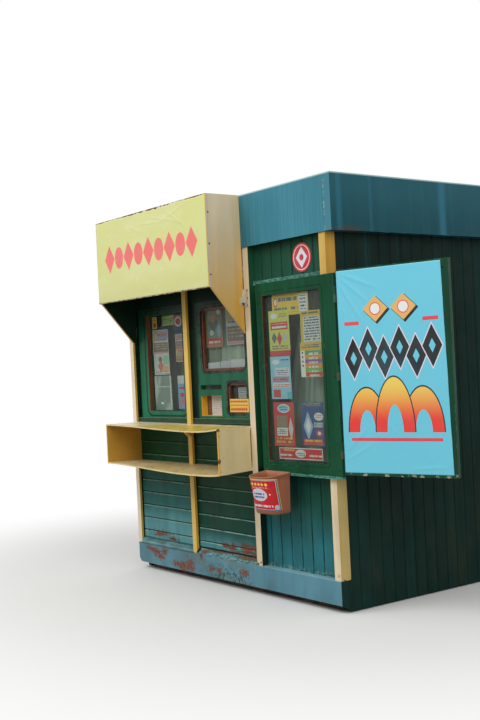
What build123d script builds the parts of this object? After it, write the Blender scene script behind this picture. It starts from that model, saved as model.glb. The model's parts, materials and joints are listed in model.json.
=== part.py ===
"""Street kiosk: a timber and sheet metal cabin with a serving counter and a shuttered show window.

X runs along the serving front from left to right, Y from the front into the kiosk, Z up.
The origin is on the ground under the middle of the cabin's floor plan. Millimetres.
"""
import os
from math import atan2, cos, degrees, radians, sin

from build123d import *

os.makedirs("parts", exist_ok=True)

# Cabin body
body_width = 2440
body_depth = 2100
wall_top = 2600
wall_thickness = 60
wall_foot = 5
base_height = 140
base_recess = 80
bearer_width = 90
floor_thickness = 60

# Roof and the sheet band round it
roof_thickness = 45
roof_fall = 30
fascia_bottom = 2388
fascia_top = 2750
fascia_front_overhang = 10
fascia_side_overhang = 78
fascia_sheet = 4
fascia_fold = 40

# Front posts, all with their faces in the front plane
post_depth = 80
end_post_width = 50
middle_post_width = 50
right_post_width = 60
corner_post_width = 60
show_bay_width = 745

# Plinth
plinth_bottom = 50
plinth_top = 205
plinth_sheet = 20
plinth_flange = 15
plinth_corner_radius = 45
plinth_seam_offset = 25
corner_sheet = 4

# Serving bays: recessed siding, sill, window wall and header
siding_recess = 30
window_recess = 37
sill_height = 35
sill_projection = 18
serving_head = 2060
drip_height = 42
drip_projection = 8
drip_lip = 10

# Left serving window: its distance from each edge of its bay, the sill and the head
left_window_left_margin = 158
left_window_right_margin = 67.5
left_window_sill_margin = 50
left_window_head_margin = 50
left_window_radius = 6
left_groove_margin = 30
left_groove_radius = 55

# Right serving panel: hatch, slot over it, small window beside it, upper window over all three
hatch_left_margin = 93
hatch_width = 266
hatch_sill_margin = 17
hatch_height = 153
hatch_sleeve = 4
hatch_sleeve_depth = 54
slot_gap = 40
slot_height = 34
small_window_gap = 49
small_window_right_margin = 55.5
small_window_height = 258
small_window_radius = 55
upper_window_left_margin = 107
upper_window_right_margin = 55.5
upper_window_gap = 81
upper_window_head_margin = 30
upper_window_radius = 70

# Glazing: dark gaskets with brown beads in the right panel, a brown lining in the square openings
gasket_width = 22
gasket_lip = 12
bead_width = 16
bead_corner_radius = 8
reveal_depth = 32
lining_width = 5
groove_width = 4
groove_depth = 3
glass_thickness = 5
glazing_clearance = 0.3

# Show window, proud of the posts and lapping over the corner post
show_boards_recess = 50
show_frame_left_gap = 102
show_frame_width = 793
show_frame_bottom = 862
show_frame_top = 2120
show_frame_proud = 25
show_opening_left_member = 62
show_opening_width = 597
show_opening_bottom = 932
show_opening_top = 2040
show_opening_radius = 6
show_groove_margin = 22
show_groove_radius = 30
show_reveal_depth = 20
head_trim_height = 30
head_trim_depth = 14
ledge_height = 16
ledge_projection = 6

# Canopy box over the serving bays
canopy_depth = 292
canopy_sheet = 20
canopy_front_bottom = 2116
canopy_tip = 1800

# Open shelf box under the serving windows
shelf_depth = 280
shelf_top_height = 1170
shelf_bottom_height = 872
shelf_board = 10
shelf_top_sag = 31
shelf_top_sag_place = 1220
shelf_top_end_drop = 10
shelf_top_rear_drop = 13
shelf_bottom_sag = 34
shelf_bottom_sag_place = 1100
shelf_bottom_end_drop = 20
shelf_bottom_rear_drop = 6
shelf_end_rise = 0.12
cheek_bite = 4
brace_top_drop = 16
brace_reach = 90
brace_thickness = 14
brace_drop = 34

# Shutter leaf, opened past the corner
shutter_open_angle = 15
shutter_width = 761
shutter_bottom = 876
shutter_top = 2132
shutter_board = 10
shutter_edge_gap = 14
stiffener_width = 40
stiffener_depth = 20
stiffener_inset = 45
hinge_side_offset = 15
hinge_front_offset = 10
hinge_barrel_radius = 9
hinge_pin_radius = 5
hinge_running_clearance = 0.3
hinge_barrel_length = 50
hinge_strap_length = 60
hinge_strap_thickness = 4
hinge_strap_height = 44
hinge_heights = (1000, 1480, 1960)

# Litter bin hung under the show window
bin_left = 39
bin_width = 248
bin_depth = 185
bin_height = 270
bin_top = 870
bin_front_drop = 22
bin_draft = 34
bin_corner_radius = 78
bin_foot_height = 12
bin_foot_inset = 6
bin_wall = 4
bin_rim = 5
bin_rim_height = 8
bin_stand_off = 6
bin_lug_height = 24
bin_lug_width = 20
bin_lug_thickness = 5
bin_lug_hole_radius = 4
bin_lug_drop = 8
bin_hook_width = 20
bin_hook_spacing = 180

# Rear door
door_width = 800
door_height = 1950
door_frame_width = 50
door_leaf_thickness = 40
door_gap = 4
door_handle_height = 1050
door_handle_projection = 55
door_handle_length = 140
door_handle_radius = 9
door_hinge_radius = 7
door_hinge_length = 110
door_hinge_plate = 3
door_hinge_plate_width = 34
door_hinge_heights = (400, 1100, 1800)

# Hasp on the canopy cheek
hasp_height = 106
hasp_width = 18
hasp_reach = 42
hasp_sheet = 4
hasp_bottom = 1994
hasp_eye_width = 24
hasp_eye_height = 46
hasp_eye_hole_radius = 4
hasp_eye_hole_spacing = 22
hasp_staple_radius = 4
hasp_staple_drop = 10

# Lines that the pieces share
left_side = -body_width / 2
right_side = body_width / 2
front = -body_depth / 2
rear = body_depth / 2
post_back = front + post_depth
floor_top = base_height + floor_thickness
corner_post_left = right_side - corner_post_width
right_post_right = corner_post_left - show_bay_width
right_post_left = right_post_right - right_post_width
serving_left = left_side + end_post_width
serving_right = right_post_left
bay_width = (serving_right - serving_left - middle_post_width) / 2
middle_post_left = serving_left + bay_width
middle_post_right = middle_post_left + middle_post_width
canopy_top = fascia_top
header_top = canopy_top - canopy_sheet
sill_bottom = shelf_top_height
sill_top = sill_bottom + sill_height
band_left = left_side - fascia_side_overhang
band_right = right_side + fascia_side_overhang
band_front = front - fascia_front_overhang
band_rear = rear + fascia_front_overhang


def block(x, y, z):
    """A straight board between two limits in each direction."""
    with BuildPart() as piece:
        with BuildSketch(Plane.XY.offset(z[0])):
            with Locations(((x[0] + x[1]) / 2, (y[0] + y[1]) / 2)):
                Rectangle(x[1] - x[0], y[1] - y[0])
        extrude(amount=z[1] - z[0])
    return piece


def facing(y):
    """The upright plane at depth y, seen from the street: its x is X and its y is Z."""
    return Plane.XZ.offset(-y)


def rounded_hole(x, z, width, height, radius):
    """A window outline with rounded corners, placed by its lower left corner."""
    with Locations((x + width / 2, z + height / 2)):
        RectangleRounded(width, height, radius)


# Base, floor and roof
with BuildPart() as base_bearers:
    bearer_spacing = (body_depth - 2 * base_recess - bearer_width) / 2
    with BuildSketch():
        with GridLocations(0, bearer_spacing, 1, 3):
            Rectangle(body_width - 2 * base_recess, bearer_width)
    extrude(amount=base_height)

floor = block(
    (left_side + wall_thickness, right_side - wall_thickness),
    (post_back, rear - wall_thickness),
    (base_height, floor_top),
)

# The roof fills the band, falls to the rear, and comes forward over the show bay
roof_left = band_left + fascia_sheet
roof_right = band_right - fascia_sheet
roof_rear = band_rear - fascia_sheet
with BuildPart() as roof:
    with BuildSketch(Plane.YZ.offset(roof_left)):
        with BuildLine():
            Polyline(
                (post_back, wall_top),
                (roof_rear, wall_top),
                (roof_rear, wall_top + roof_thickness),
                (post_back, wall_top + roof_thickness + roof_fall),
                close=True,
            )
        make_face()
    extrude(amount=roof_right - roof_left)
    with BuildSketch(Plane.XY.offset(wall_top)):
        roof_front = band_front + fascia_sheet
        with Locations(((right_post_left + roof_right) / 2, (roof_front + post_back) / 2)):
            Rectangle(roof_right - right_post_left, post_back - roof_front)
    extrude(amount=roof_thickness + roof_fall)

# Side and rear walls
left_wall = block(
    (left_side, left_side + wall_thickness), (post_back, rear), (wall_foot, wall_top)
)
right_wall = block(
    (right_side - wall_thickness, right_side), (post_back, rear), (wall_foot, wall_top)
)
with BuildPart() as rear_wall:
    with BuildSketch(facing(rear)):
        with Locations((0, (wall_foot + wall_top) / 2)):
            Rectangle(body_width - 2 * wall_thickness, wall_top - wall_foot)
        with Locations((0, floor_top + door_height / 2)):
            Rectangle(door_width, door_height, mode=Mode.SUBTRACT)
    extrude(amount=wall_thickness)

with BuildPart() as rear_door_frame:
    with BuildSketch(facing(rear)):
        with Locations((0, floor_top + door_height / 2)):
            Rectangle(door_width, door_height)
        with Locations((0, floor_top + (door_height - door_frame_width) / 2)):
            Rectangle(
                door_width - 2 * door_frame_width,
                door_height - door_frame_width,
                mode=Mode.SUBTRACT,
            )
    extrude(amount=wall_thickness)

with BuildPart() as rear_door:
    leaf_width = door_width - 2 * (door_frame_width + door_gap)
    leaf_height = door_height - door_frame_width - door_gap
    leaf_back = rear - (wall_thickness - door_leaf_thickness) / 2
    with BuildSketch(facing(leaf_back)):
        with Locations((0, floor_top + leaf_height / 2)):
            Rectangle(leaf_width, leaf_height)
    extrude(amount=door_leaf_thickness)
    handle_x = leaf_width / 2 - 2 * door_frame_width
    grip_y = leaf_back + door_handle_projection
    with Locations((handle_x, leaf_back, door_handle_height)):
        Cylinder(
            door_handle_radius,
            door_handle_projection + door_handle_radius,
            rotation=(-90, 0, 0),
            align=(Align.CENTER, Align.CENTER, Align.MIN),
        )
    with Locations((handle_x + door_handle_radius, grip_y, door_handle_height)):
        Cylinder(
            door_handle_radius,
            door_handle_length,
            rotation=(0, -90, 0),
            align=(Align.CENTER, Align.CENTER, Align.MIN),
        )

# Fixed halves of the rear door's hinges, screwed to its frame
with BuildPart() as rear_door_hinges:
    hinge_line = -(leaf_width + door_gap) / 2
    for height in door_hinge_heights:
        with BuildSketch(Plane.XY.offset(height)):
            with Locations((hinge_line, rear + door_hinge_radius)):
                Circle(door_hinge_radius)
            with Locations((hinge_line - door_hinge_plate_width / 2, rear + door_hinge_plate / 2)):
                Rectangle(door_hinge_plate_width, door_hinge_plate)
        extrude(amount=door_hinge_length)

# Front posts
left_post = block(
    (left_side, serving_left), (front, post_back), (plinth_top, wall_top)
)
middle_post = block(
    (middle_post_left, middle_post_right), (front, post_back), (plinth_top, header_top)
)
right_post = block(
    (right_post_left, right_post_right), (front, post_back), (plinth_top, wall_top)
)
corner_post = block(
    (corner_post_left, right_side), (front, post_back), (plinth_top, wall_top)
)


# Plinth skirt: a front sheet with a flange on top that the posts stand on
def plinth_run(x_start, x_end, round_start):
    with BuildPart() as piece:
        with BuildSketch(Plane.YZ.offset(x_start)):
            with BuildLine():
                Polyline(
                    (front, plinth_bottom),
                    (front + plinth_sheet, plinth_bottom),
                    (front + plinth_sheet, plinth_top - plinth_flange),
                    (post_back, plinth_top - plinth_flange),
                    (post_back, plinth_top),
                    (front, plinth_top),
                    close=True,
                )
            make_face()
        extrude(amount=x_end - x_start)
        if round_start:
            lower_edge = piece.edges().filter_by(Axis.Y).group_by(Axis.Z)[0]
            fillet(lower_edge.sort_by(Axis.X)[0], radius=plinth_corner_radius)
    return piece


plinth_seam = right_post_left - plinth_seam_offset
plinth_left = plinth_run(left_side, plinth_seam, True)
plinth_right = plinth_run(plinth_seam, right_side - corner_sheet, False)

with BuildPart() as plinth_corner:
    with BuildSketch(Plane.YZ.offset(right_side - corner_sheet)):
        with BuildLine():
            Polyline(
                (front, plinth_bottom),
                (post_back, wall_foot),
                (post_back, plinth_top),
                (front, plinth_top),
                close=True,
            )
        make_face()
    extrude(amount=corner_sheet)

# Serving bays, built alike in the left and the right bay
siding_face = front + siding_recess
window_face = front + window_recess
bay_lefts = (serving_left, middle_post_right)

with BuildPart() as bay_siding:
    for bay_left in bay_lefts:
        with BuildSketch(Plane.XY.offset(plinth_top)):
            with Locations((bay_left + bay_width / 2, (siding_face + post_back) / 2)):
                Rectangle(bay_width, post_back - siding_face)
        extrude(amount=sill_bottom - plinth_top)

with BuildPart() as bay_sills:
    for bay_left in bay_lefts:
        with BuildSketch(Plane.XY.offset(sill_bottom)):
            sill_front = window_face - sill_projection
            with Locations((bay_left + bay_width / 2, (sill_front + post_back) / 2)):
                Rectangle(bay_width, post_back - sill_front)
        extrude(amount=sill_top - sill_bottom)

with BuildPart() as header_boards:
    for bay_left in bay_lefts:
        with BuildSketch(Plane.XY.offset(serving_head)):
            with Locations((bay_left + bay_width / 2, (siding_face + post_back) / 2)):
                Rectangle(bay_width, post_back - siding_face)
        extrude(amount=header_top - serving_head)

with BuildPart() as drip_boards:
    for bay_left in bay_lefts:
        with BuildSketch(Plane.YZ.offset(bay_left)):
            with BuildLine():
                Polyline(
                    (front - drip_projection, plinth_top),
                    (siding_face, plinth_top),
                    (siding_face, plinth_top + drip_height),
                    (front - drip_projection, plinth_top + drip_lip),
                    close=True,
                )
            make_face()
        extrude(amount=bay_width)

# Serving window wall: each window is its lower left corner, width, height and corner radius
hatch_left = middle_post_right + hatch_left_margin
hatch_bottom = sill_top + hatch_sill_margin
slot_bottom = hatch_bottom + hatch_height + slot_gap
small_window_left = hatch_left + hatch_width + small_window_gap
upper_window_bottom = slot_bottom + slot_height + upper_window_gap
left_window = (
    serving_left + left_window_left_margin,
    sill_top + left_window_sill_margin,
    bay_width - left_window_left_margin - left_window_right_margin,
    serving_head - left_window_head_margin - sill_top - left_window_sill_margin,
    left_window_radius,
)
upper_window = (
    middle_post_right + upper_window_left_margin,
    upper_window_bottom,
    bay_width - upper_window_left_margin - upper_window_right_margin,
    serving_head - upper_window_head_margin - upper_window_bottom,
    upper_window_radius,
)
small_window = (
    small_window_left,
    hatch_bottom,
    serving_right - small_window_right_margin - small_window_left,
    small_window_height,
    small_window_radius,
)


def shrunk(window, margin, radius=None):
    """The window outline drawn in by a margin, with its corners concentric or of a given radius."""
    x, z, width, height, corner = window
    inner = corner - margin if radius is None else radius
    return (x + margin, z + margin, width - 2 * margin, height - 2 * margin, inner)


with BuildPart() as left_window_frame:
    with BuildSketch(facing(window_face)):
        with Locations((serving_left + bay_width / 2, (sill_top + serving_head) / 2)):
            Rectangle(bay_width, serving_head - sill_top)
        with BuildSketch(mode=Mode.SUBTRACT):
            rounded_hole(*left_window)
    extrude(amount=-(post_back - window_face))
    # A round-cornered groove is pressed into the face round the opening
    with BuildSketch(facing(window_face)):
        rounded_hole(*shrunk(left_window, -left_groove_margin, left_groove_radius))
        with BuildSketch(mode=Mode.SUBTRACT):
            inner_margin = groove_width - left_groove_margin
            rounded_hole(*shrunk(left_window, inner_margin, left_groove_radius - groove_width))
    extrude(amount=-groove_depth, mode=Mode.SUBTRACT)

with BuildPart() as serving_panel:
    with BuildSketch(facing(window_face)):
        with Locations(
            (middle_post_right + bay_width / 2, (sill_top + serving_head) / 2)
        ):
            Rectangle(bay_width, serving_head - sill_top)
        with BuildSketch(mode=Mode.SUBTRACT):
            rounded_hole(*upper_window)
            rounded_hole(*small_window)
            with Locations((hatch_left + hatch_width / 2, hatch_bottom + hatch_height / 2)):
                Rectangle(hatch_width, hatch_height)
            with Locations((hatch_left + hatch_width / 2, slot_bottom + slot_height / 2)):
                Rectangle(hatch_width, slot_height)
    extrude(amount=-(post_back - window_face))

# Lining sleeve of the serving hatch, pushed through the panel from inside
with BuildPart() as hatch_sleeve_box:
    with BuildSketch(facing(window_face)):
        with Locations((hatch_left + hatch_width / 2, hatch_bottom + hatch_height / 2)):
            Rectangle(hatch_width, hatch_height)
            Rectangle(
                hatch_width - 2 * hatch_sleeve,
                hatch_height - 2 * hatch_sleeve,
                mode=Mode.SUBTRACT,
            )
    extrude(amount=-hatch_sleeve_depth)


# Gaskets and beads of the serving windows, with their glass behind
gasket_windows = (upper_window, small_window)
glass_face = window_face + reveal_depth

with BuildPart() as window_gaskets:
    for window in gasket_windows:
        with BuildSketch(facing(window_face)):
            rounded_hole(*shrunk(window, glazing_clearance))
            with BuildSketch(mode=Mode.SUBTRACT):
                rounded_hole(*shrunk(window, gasket_width))
        extrude(amount=-reveal_depth)

with BuildPart() as window_beads:
    for window in gasket_windows:
        with BuildSketch(facing(window_face + gasket_lip)):
            rounded_hole(*shrunk(window, gasket_width + glazing_clearance))
            with BuildSketch(mode=Mode.SUBTRACT):
                rounded_hole(*shrunk(window, gasket_width + bead_width, bead_corner_radius))
        extrude(amount=-(reveal_depth - gasket_lip))
    with BuildSketch(facing(window_face + glazing_clearance)):
        rounded_hole(*shrunk(left_window, glazing_clearance))
        with BuildSketch(mode=Mode.SUBTRACT):
            rounded_hole(*shrunk(left_window, lining_width))
    extrude(amount=-(reveal_depth - glazing_clearance))

with BuildPart() as serving_glass:
    for window in (left_window, *gasket_windows):
        with BuildSketch(facing(glass_face)):
            rounded_hole(*shrunk(window, glazing_clearance))
        extrude(amount=-glass_thickness)

# Show bay: boards under and over the window, and the jamb board beside it
show_frame_left = right_post_right + show_frame_left_gap
show_frame_right = show_frame_left + show_frame_width
show_face = front + show_boards_recess
trim_top = show_frame_top + head_trim_height

boards_under_window = block(
    (right_post_right, corner_post_left),
    (show_face, post_back),
    (plinth_top, show_frame_bottom),
)
boards_over_window = block(
    (right_post_right, corner_post_left),
    (show_face, post_back),
    (show_frame_top, wall_top),
)
jamb_board = block(
    (right_post_right, show_frame_left),
    (show_face, post_back),
    (show_frame_bottom, show_frame_top),
)
head_trim = block(
    (right_post_right, corner_post_left),
    (show_face - head_trim_depth, show_face),
    (show_frame_top, trim_top),
)

# Show window frame: a proud face that laps the corner post, and a lining back to the boards
show_opening_left = show_frame_left + show_opening_left_member
show_opening_height = show_opening_top - show_opening_bottom
show_opening = (
    show_opening_left,
    show_opening_bottom,
    show_opening_width,
    show_opening_height,
    show_opening_radius,
)
show_frame_face = front - show_frame_proud
with BuildPart() as show_window_frame:
    frame_height = show_frame_top - show_frame_bottom
    frame_middle = (show_frame_top + show_frame_bottom) / 2
    with BuildSketch(facing(show_frame_face)):
        with Locations((show_frame_left + show_frame_width / 2, frame_middle)):
            Rectangle(show_frame_width, frame_height)
        with BuildSketch(mode=Mode.SUBTRACT):
            rounded_hole(*show_opening)
    extrude(amount=-show_frame_proud)
    inner_width = corner_post_left - show_frame_left
    with BuildSketch(facing(front)):
        with Locations((show_frame_left + inner_width / 2, frame_middle)):
            Rectangle(inner_width, frame_height)
        with BuildSketch(mode=Mode.SUBTRACT):
            rounded_hole(*show_opening)
    extrude(amount=-post_depth)
    with BuildSketch(facing(show_frame_face)):
        rounded_hole(*shrunk(show_opening, -show_groove_margin, show_groove_radius))
        with BuildSketch(mode=Mode.SUBTRACT):
            inner_margin = groove_width - show_groove_margin
            rounded_hole(*shrunk(show_opening, inner_margin, show_groove_radius - groove_width))
    extrude(amount=-groove_depth, mode=Mode.SUBTRACT)

with BuildPart() as show_window_bead:
    with BuildSketch(facing(show_frame_face + glazing_clearance)):
        rounded_hole(*shrunk(show_opening, glazing_clearance))
        with BuildSketch(mode=Mode.SUBTRACT):
            rounded_hole(*shrunk(show_opening, lining_width))
    extrude(amount=-(show_reveal_depth - glazing_clearance))

with BuildPart() as show_window_glass:
    with BuildSketch(facing(show_frame_face + show_reveal_depth)):
        rounded_hole(*shrunk(show_opening, glazing_clearance))
    extrude(amount=-glass_thickness)

with BuildPart() as window_ledge:
    with BuildSketch(Plane.XY.offset(show_frame_bottom - ledge_height)):
        ledge_front = show_frame_face - ledge_projection
        with Locations(((show_frame_left + show_frame_right) / 2, (ledge_front + front) / 2)):
            Rectangle(show_frame_width, front - ledge_front)
        ledge_inner = corner_post_left - show_frame_left
        with Locations((show_frame_left + ledge_inner / 2, (front + show_face) / 2)):
            Rectangle(ledge_inner, show_face - front)
    extrude(amount=ledge_height)


# Sheet band round the roof: a flat face, folded inwards at its top, with a lip under it to the wall
def fascia_run(corner, direction, length, overhang, next_overhang, mitre_start, mitre_end):
    """One side of the band, drawn from its outer corner along the wall, mitred to the sides beside it."""
    run = Plane(origin=corner, x_dir=direction, z_dir=(0, 0, 1))
    with BuildPart() as piece:
        for outer, inner, cut_outer, cut_inner, low, high in (
            (0, fascia_sheet, 0, fascia_sheet, fascia_bottom, fascia_top),
            (fascia_sheet, fascia_fold, fascia_sheet, fascia_fold, fascia_top - fascia_sheet, fascia_top),
            (fascia_sheet, overhang, fascia_sheet, next_overhang, fascia_bottom, fascia_bottom + fascia_sheet),
        ):
            with BuildSketch(run.offset(low)):
                with BuildLine():
                    Polyline(
                        (cut_outer * mitre_start, outer),
                        (length - cut_outer * mitre_end, outer),
                        (length - cut_inner * mitre_end, inner),
                        (cut_inner * mitre_start, inner),
                        close=True,
                    )
                make_face()
            extrude(amount=high - low)
    return piece


along_front = (fascia_front_overhang, fascia_side_overhang)
along_side = (fascia_side_overhang, fascia_front_overhang)
band_width = band_right - band_left
band_depth = band_rear - band_front
fascia_front = fascia_run(
    (right_post_left, band_front, 0), (1, 0, 0), band_right - right_post_left, *along_front, 0, 1
)
fascia_right = fascia_run((band_right, band_front, 0), (0, 1, 0), band_depth, *along_side, 1, 1)
fascia_rear = fascia_run((band_right, band_rear, 0), (-1, 0, 0), band_width, *along_front, 1, 1)
fascia_left = fascia_run((band_left, band_rear, 0), (0, -1, 0), band_depth, *along_side, 1, 1)
fascia_left_return = fascia_run(
    (band_left, band_front, 0), (1, 0, 0), serving_left - band_left, *along_front, 1, 0
)

# Canopy box: sign panel, two slanting cheeks and a top, open underneath
canopy_front = front - canopy_depth
canopy_sign = block(
    (serving_left, serving_right),
    (canopy_front, canopy_front + canopy_sheet),
    (canopy_front_bottom, canopy_top),
)


def canopy_cheek(x_start):
    with BuildPart() as piece:
        with BuildSketch(Plane.YZ.offset(x_start)):
            with BuildLine():
                Polyline(
                    (canopy_front + canopy_sheet, canopy_front_bottom),
                    (front, canopy_tip),
                    (siding_face, canopy_tip),
                    (siding_face, canopy_top),
                    (canopy_front + canopy_sheet, canopy_top),
                    close=True,
                )
            make_face()
        extrude(amount=canopy_sheet)
    return piece


canopy_left_cheek = canopy_cheek(serving_left)
canopy_right_cheek = canopy_cheek(serving_right - canopy_sheet)
canopy_roof = block(
    (serving_left + canopy_sheet, serving_right - canopy_sheet),
    (canopy_front + canopy_sheet, post_back),
    (header_top, canopy_top),
)


# Shelf box: two boards that sag between their cheeks, notched round the middle post
def bowed_board(level, sag, sag_place, end_drop, rear_start_drop, rear_end_drop):
    """A board whose rear edge lies straight on the wall while its front edge sags."""

    def front_edge(height):
        return Spline(
            (serving_left, height),
            (serving_left + sag_place, height - sag),
            (serving_right, height - end_drop),
            tangents=((1, 0), (1, 0), (1, shelf_end_rise)),
        )

    with BuildPart() as piece:
        with BuildSketch(facing(front - shelf_depth)):
            with BuildLine():
                upper = front_edge(level)
                lower = front_edge(level - shelf_board)
                Line(upper @ 0, lower @ 0)
                Line(upper @ 1, lower @ 1)
            make_face()
        with BuildSketch(facing(siding_face)):
            with BuildLine():
                Polyline(
                    (serving_left, level - rear_start_drop),
                    (serving_right, level - rear_end_drop),
                    (serving_right, level - rear_end_drop - shelf_board),
                    (serving_left, level - rear_start_drop - shelf_board),
                    close=True,
                )
            make_face()
        loft(ruled=True)
        with BuildSketch(Plane.XY.offset(level)):
            with Locations(((middle_post_left + middle_post_right) / 2, siding_face)):
                Rectangle(middle_post_width, 2 * siding_recess)
        extrude(amount=shelf_top_sag + shelf_board, both=True, mode=Mode.SUBTRACT)
    return piece


shelf_top = bowed_board(
    shelf_top_height, shelf_top_sag, shelf_top_sag_place, shelf_top_end_drop, 0, shelf_top_rear_drop
)
shelf_bottom = bowed_board(
    shelf_bottom_height,
    shelf_bottom_sag,
    shelf_bottom_sag_place,
    shelf_bottom_end_drop,
    shelf_bottom_rear_drop,
    shelf_bottom_rear_drop,
)
with BuildPart() as shelf_cheeks:
    shelf_front = front - shelf_depth
    cheeks = (
        (serving_left, 0, 0, 0),
        (serving_right - shelf_board, shelf_bottom_end_drop, shelf_top_end_drop, shelf_top_rear_drop),
    )
    for cheek_left, foot_drop, head_drop, rear_head_drop in cheeks:
        with BuildSketch(Plane.YZ.offset(cheek_left)):
            with BuildLine():
                Polyline(
                    (shelf_front, shelf_bottom_height - foot_drop - cheek_bite),
                    (siding_face, shelf_bottom_height - shelf_bottom_rear_drop - cheek_bite),
                    (siding_face, shelf_top_height - shelf_board - rear_head_drop + cheek_bite),
                    (shelf_front, shelf_top_height - shelf_board - head_drop + cheek_bite),
                    close=True,
                )
            make_face()
        extrude(amount=shelf_board)
    add(shelf_top.part, mode=Mode.SUBTRACT)
    add(shelf_bottom.part, mode=Mode.SUBTRACT)

with BuildPart() as shelf_braces:
    for top in (shelf_top_height - brace_top_drop, shelf_bottom_height - brace_top_drop):
        with BuildSketch(Plane.YZ.offset(middle_post_left)):
            with BuildLine():
                Polyline(
                    (front, top - brace_reach),
                    (front, top - brace_reach + brace_thickness + brace_drop),
                    (front - brace_reach + brace_thickness + brace_drop, top),
                    (front - brace_reach, top),
                    close=True,
                )
            make_face()
        extrude(amount=middle_post_width)
    add(shelf_top.part, mode=Mode.SUBTRACT)
    add(shelf_bottom.part, mode=Mode.SUBTRACT)

# Shutter: its plane stands open past the corner, turned back from the front
hinge_x = show_frame_right + hinge_side_offset
hinge_y = show_frame_face - hinge_front_offset
leaf_direction = (cos(radians(shutter_open_angle)), sin(radians(shutter_open_angle)), 0)
hinge_plane = Plane(origin=(hinge_x, hinge_y, 0), x_dir=leaf_direction, z_dir=(0, 0, 1))
leaf_height = shutter_top - shutter_bottom

with BuildPart() as shutter_leaf:
    with BuildSketch(hinge_plane.offset(shutter_bottom)):
        with Locations((shutter_edge_gap + shutter_width / 2, shutter_board / 2)):
            Rectangle(shutter_width, shutter_board)
    extrude(amount=leaf_height)
    # Stiffening frame on the weather side
    upright_x = (
        stiffener_inset + stiffener_width / 2,
        shutter_edge_gap + shutter_width - stiffener_width / 2,
    )
    for middle in upright_x:
        with BuildSketch(hinge_plane.offset(shutter_bottom)):
            with Locations((middle, shutter_board + stiffener_depth / 2)):
                Rectangle(stiffener_width, stiffener_depth)
        extrude(amount=leaf_height)
    rail_start = stiffener_inset + stiffener_width
    rail_length = shutter_edge_gap + shutter_width - stiffener_width - rail_start
    rail_gap = (leaf_height - stiffener_width) / 2
    for step in range(3):
        with BuildSketch(hinge_plane.offset(shutter_bottom + step * rail_gap)):
            with Locations((rail_start + rail_length / 2, shutter_board + stiffener_depth / 2)):
                Rectangle(rail_length, stiffener_depth)
        extrude(amount=stiffener_width)
    # Hinge straps and upper barrels, bored for the pins
    for height in hinge_heights:
        barrel_bottom = height + hinge_barrel_length / 2 + hinge_running_clearance
        with BuildSketch(hinge_plane.offset(barrel_bottom)):
            Circle(hinge_barrel_radius)
        extrude(amount=hinge_barrel_length)
        with BuildSketch(hinge_plane.offset(barrel_bottom)):
            with Locations((hinge_strap_length / 2, hinge_strap_thickness / 2)):
                Rectangle(hinge_strap_length, hinge_strap_thickness)
        extrude(amount=hinge_strap_height)
        with BuildSketch(hinge_plane.offset(barrel_bottom)):
            Circle(hinge_pin_radius + hinge_running_clearance)
        extrude(amount=hinge_barrel_length, mode=Mode.SUBTRACT)

# Fixed hinge halves: lower barrels with their pins, on straps screwed to the frame's edge
with BuildPart() as hinge_pins:
    for height in hinge_heights:
        barrel_bottom = height - hinge_barrel_length / 2
        with BuildSketch(Plane.XY.offset(barrel_bottom)):
            with Locations((hinge_x, hinge_y)):
                Circle(hinge_barrel_radius)
            strap_middle = (hinge_y + front) / 2
            with Locations((show_frame_right + hinge_strap_thickness / 2, strap_middle)):
                Rectangle(hinge_strap_thickness, front - hinge_y)
            with Locations(((show_frame_right + hinge_x) / 2, hinge_y + hinge_strap_thickness / 2)):
                Rectangle(hinge_side_offset, hinge_strap_thickness)
        extrude(amount=hinge_barrel_length)
        with BuildSketch(Plane.XY.offset(barrel_bottom)):
            with Locations((hinge_x, hinge_y)):
                Circle(hinge_pin_radius)
        extrude(amount=2 * hinge_barrel_length - hinge_barrel_radius)

# Litter bin: a tub with draft on its sides and front, cut flat at the back, hooked over the ledge
ledge_face = show_frame_face - ledge_projection
bin_back = ledge_face - bin_stand_off
bin_middle_x = show_frame_left + bin_left + bin_width / 2
bin_bottom = bin_top - bin_height
bin_foot_top = bin_bottom + bin_foot_height
bin_tub_height = bin_top - bin_foot_top


def bin_outline(margin):
    """The tub's section drawn in by a margin, twice as deep as the bin, with its middle on the back."""
    with Locations((bin_middle_x, bin_back)):
        RectangleRounded(
            bin_width - 2 * margin, 2 * (bin_depth - margin), bin_corner_radius - margin
        )


def slope(inset, height):
    """Draft angle in degrees of a wall that leans in by an inset over a height."""
    return degrees(atan2(inset, height))


with BuildPart() as bin_hollow:
    with BuildSketch(Plane.XY.offset(bin_top)):
        bin_outline(bin_wall)
    extrude(amount=-bin_tub_height, taper=slope(bin_draft, bin_tub_height))
    split(bisect_by=facing(bin_back - bin_wall), keep=Keep.TOP)

# Slanting plane of the mouth: level along X, lower at the front
mouth_drop = bin_front_drop / bin_depth
mouth = Plane(origin=(bin_middle_x, bin_back, bin_top), x_dir=(1, 0, 0), z_dir=(0, -mouth_drop, 1))

with BuildPart() as bin_rim_ring:
    with BuildSketch(Plane.XY.offset(bin_top)):
        bin_outline(-bin_rim)
        with BuildSketch(mode=Mode.SUBTRACT):
            bin_outline(bin_wall / 2)
    extrude(amount=-bin_front_drop - 2 * bin_rim_height)
    split(bisect_by=mouth, keep=Keep.BOTTOM)
    split(bisect_by=mouth.offset(-bin_rim_height), keep=Keep.TOP)

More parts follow.
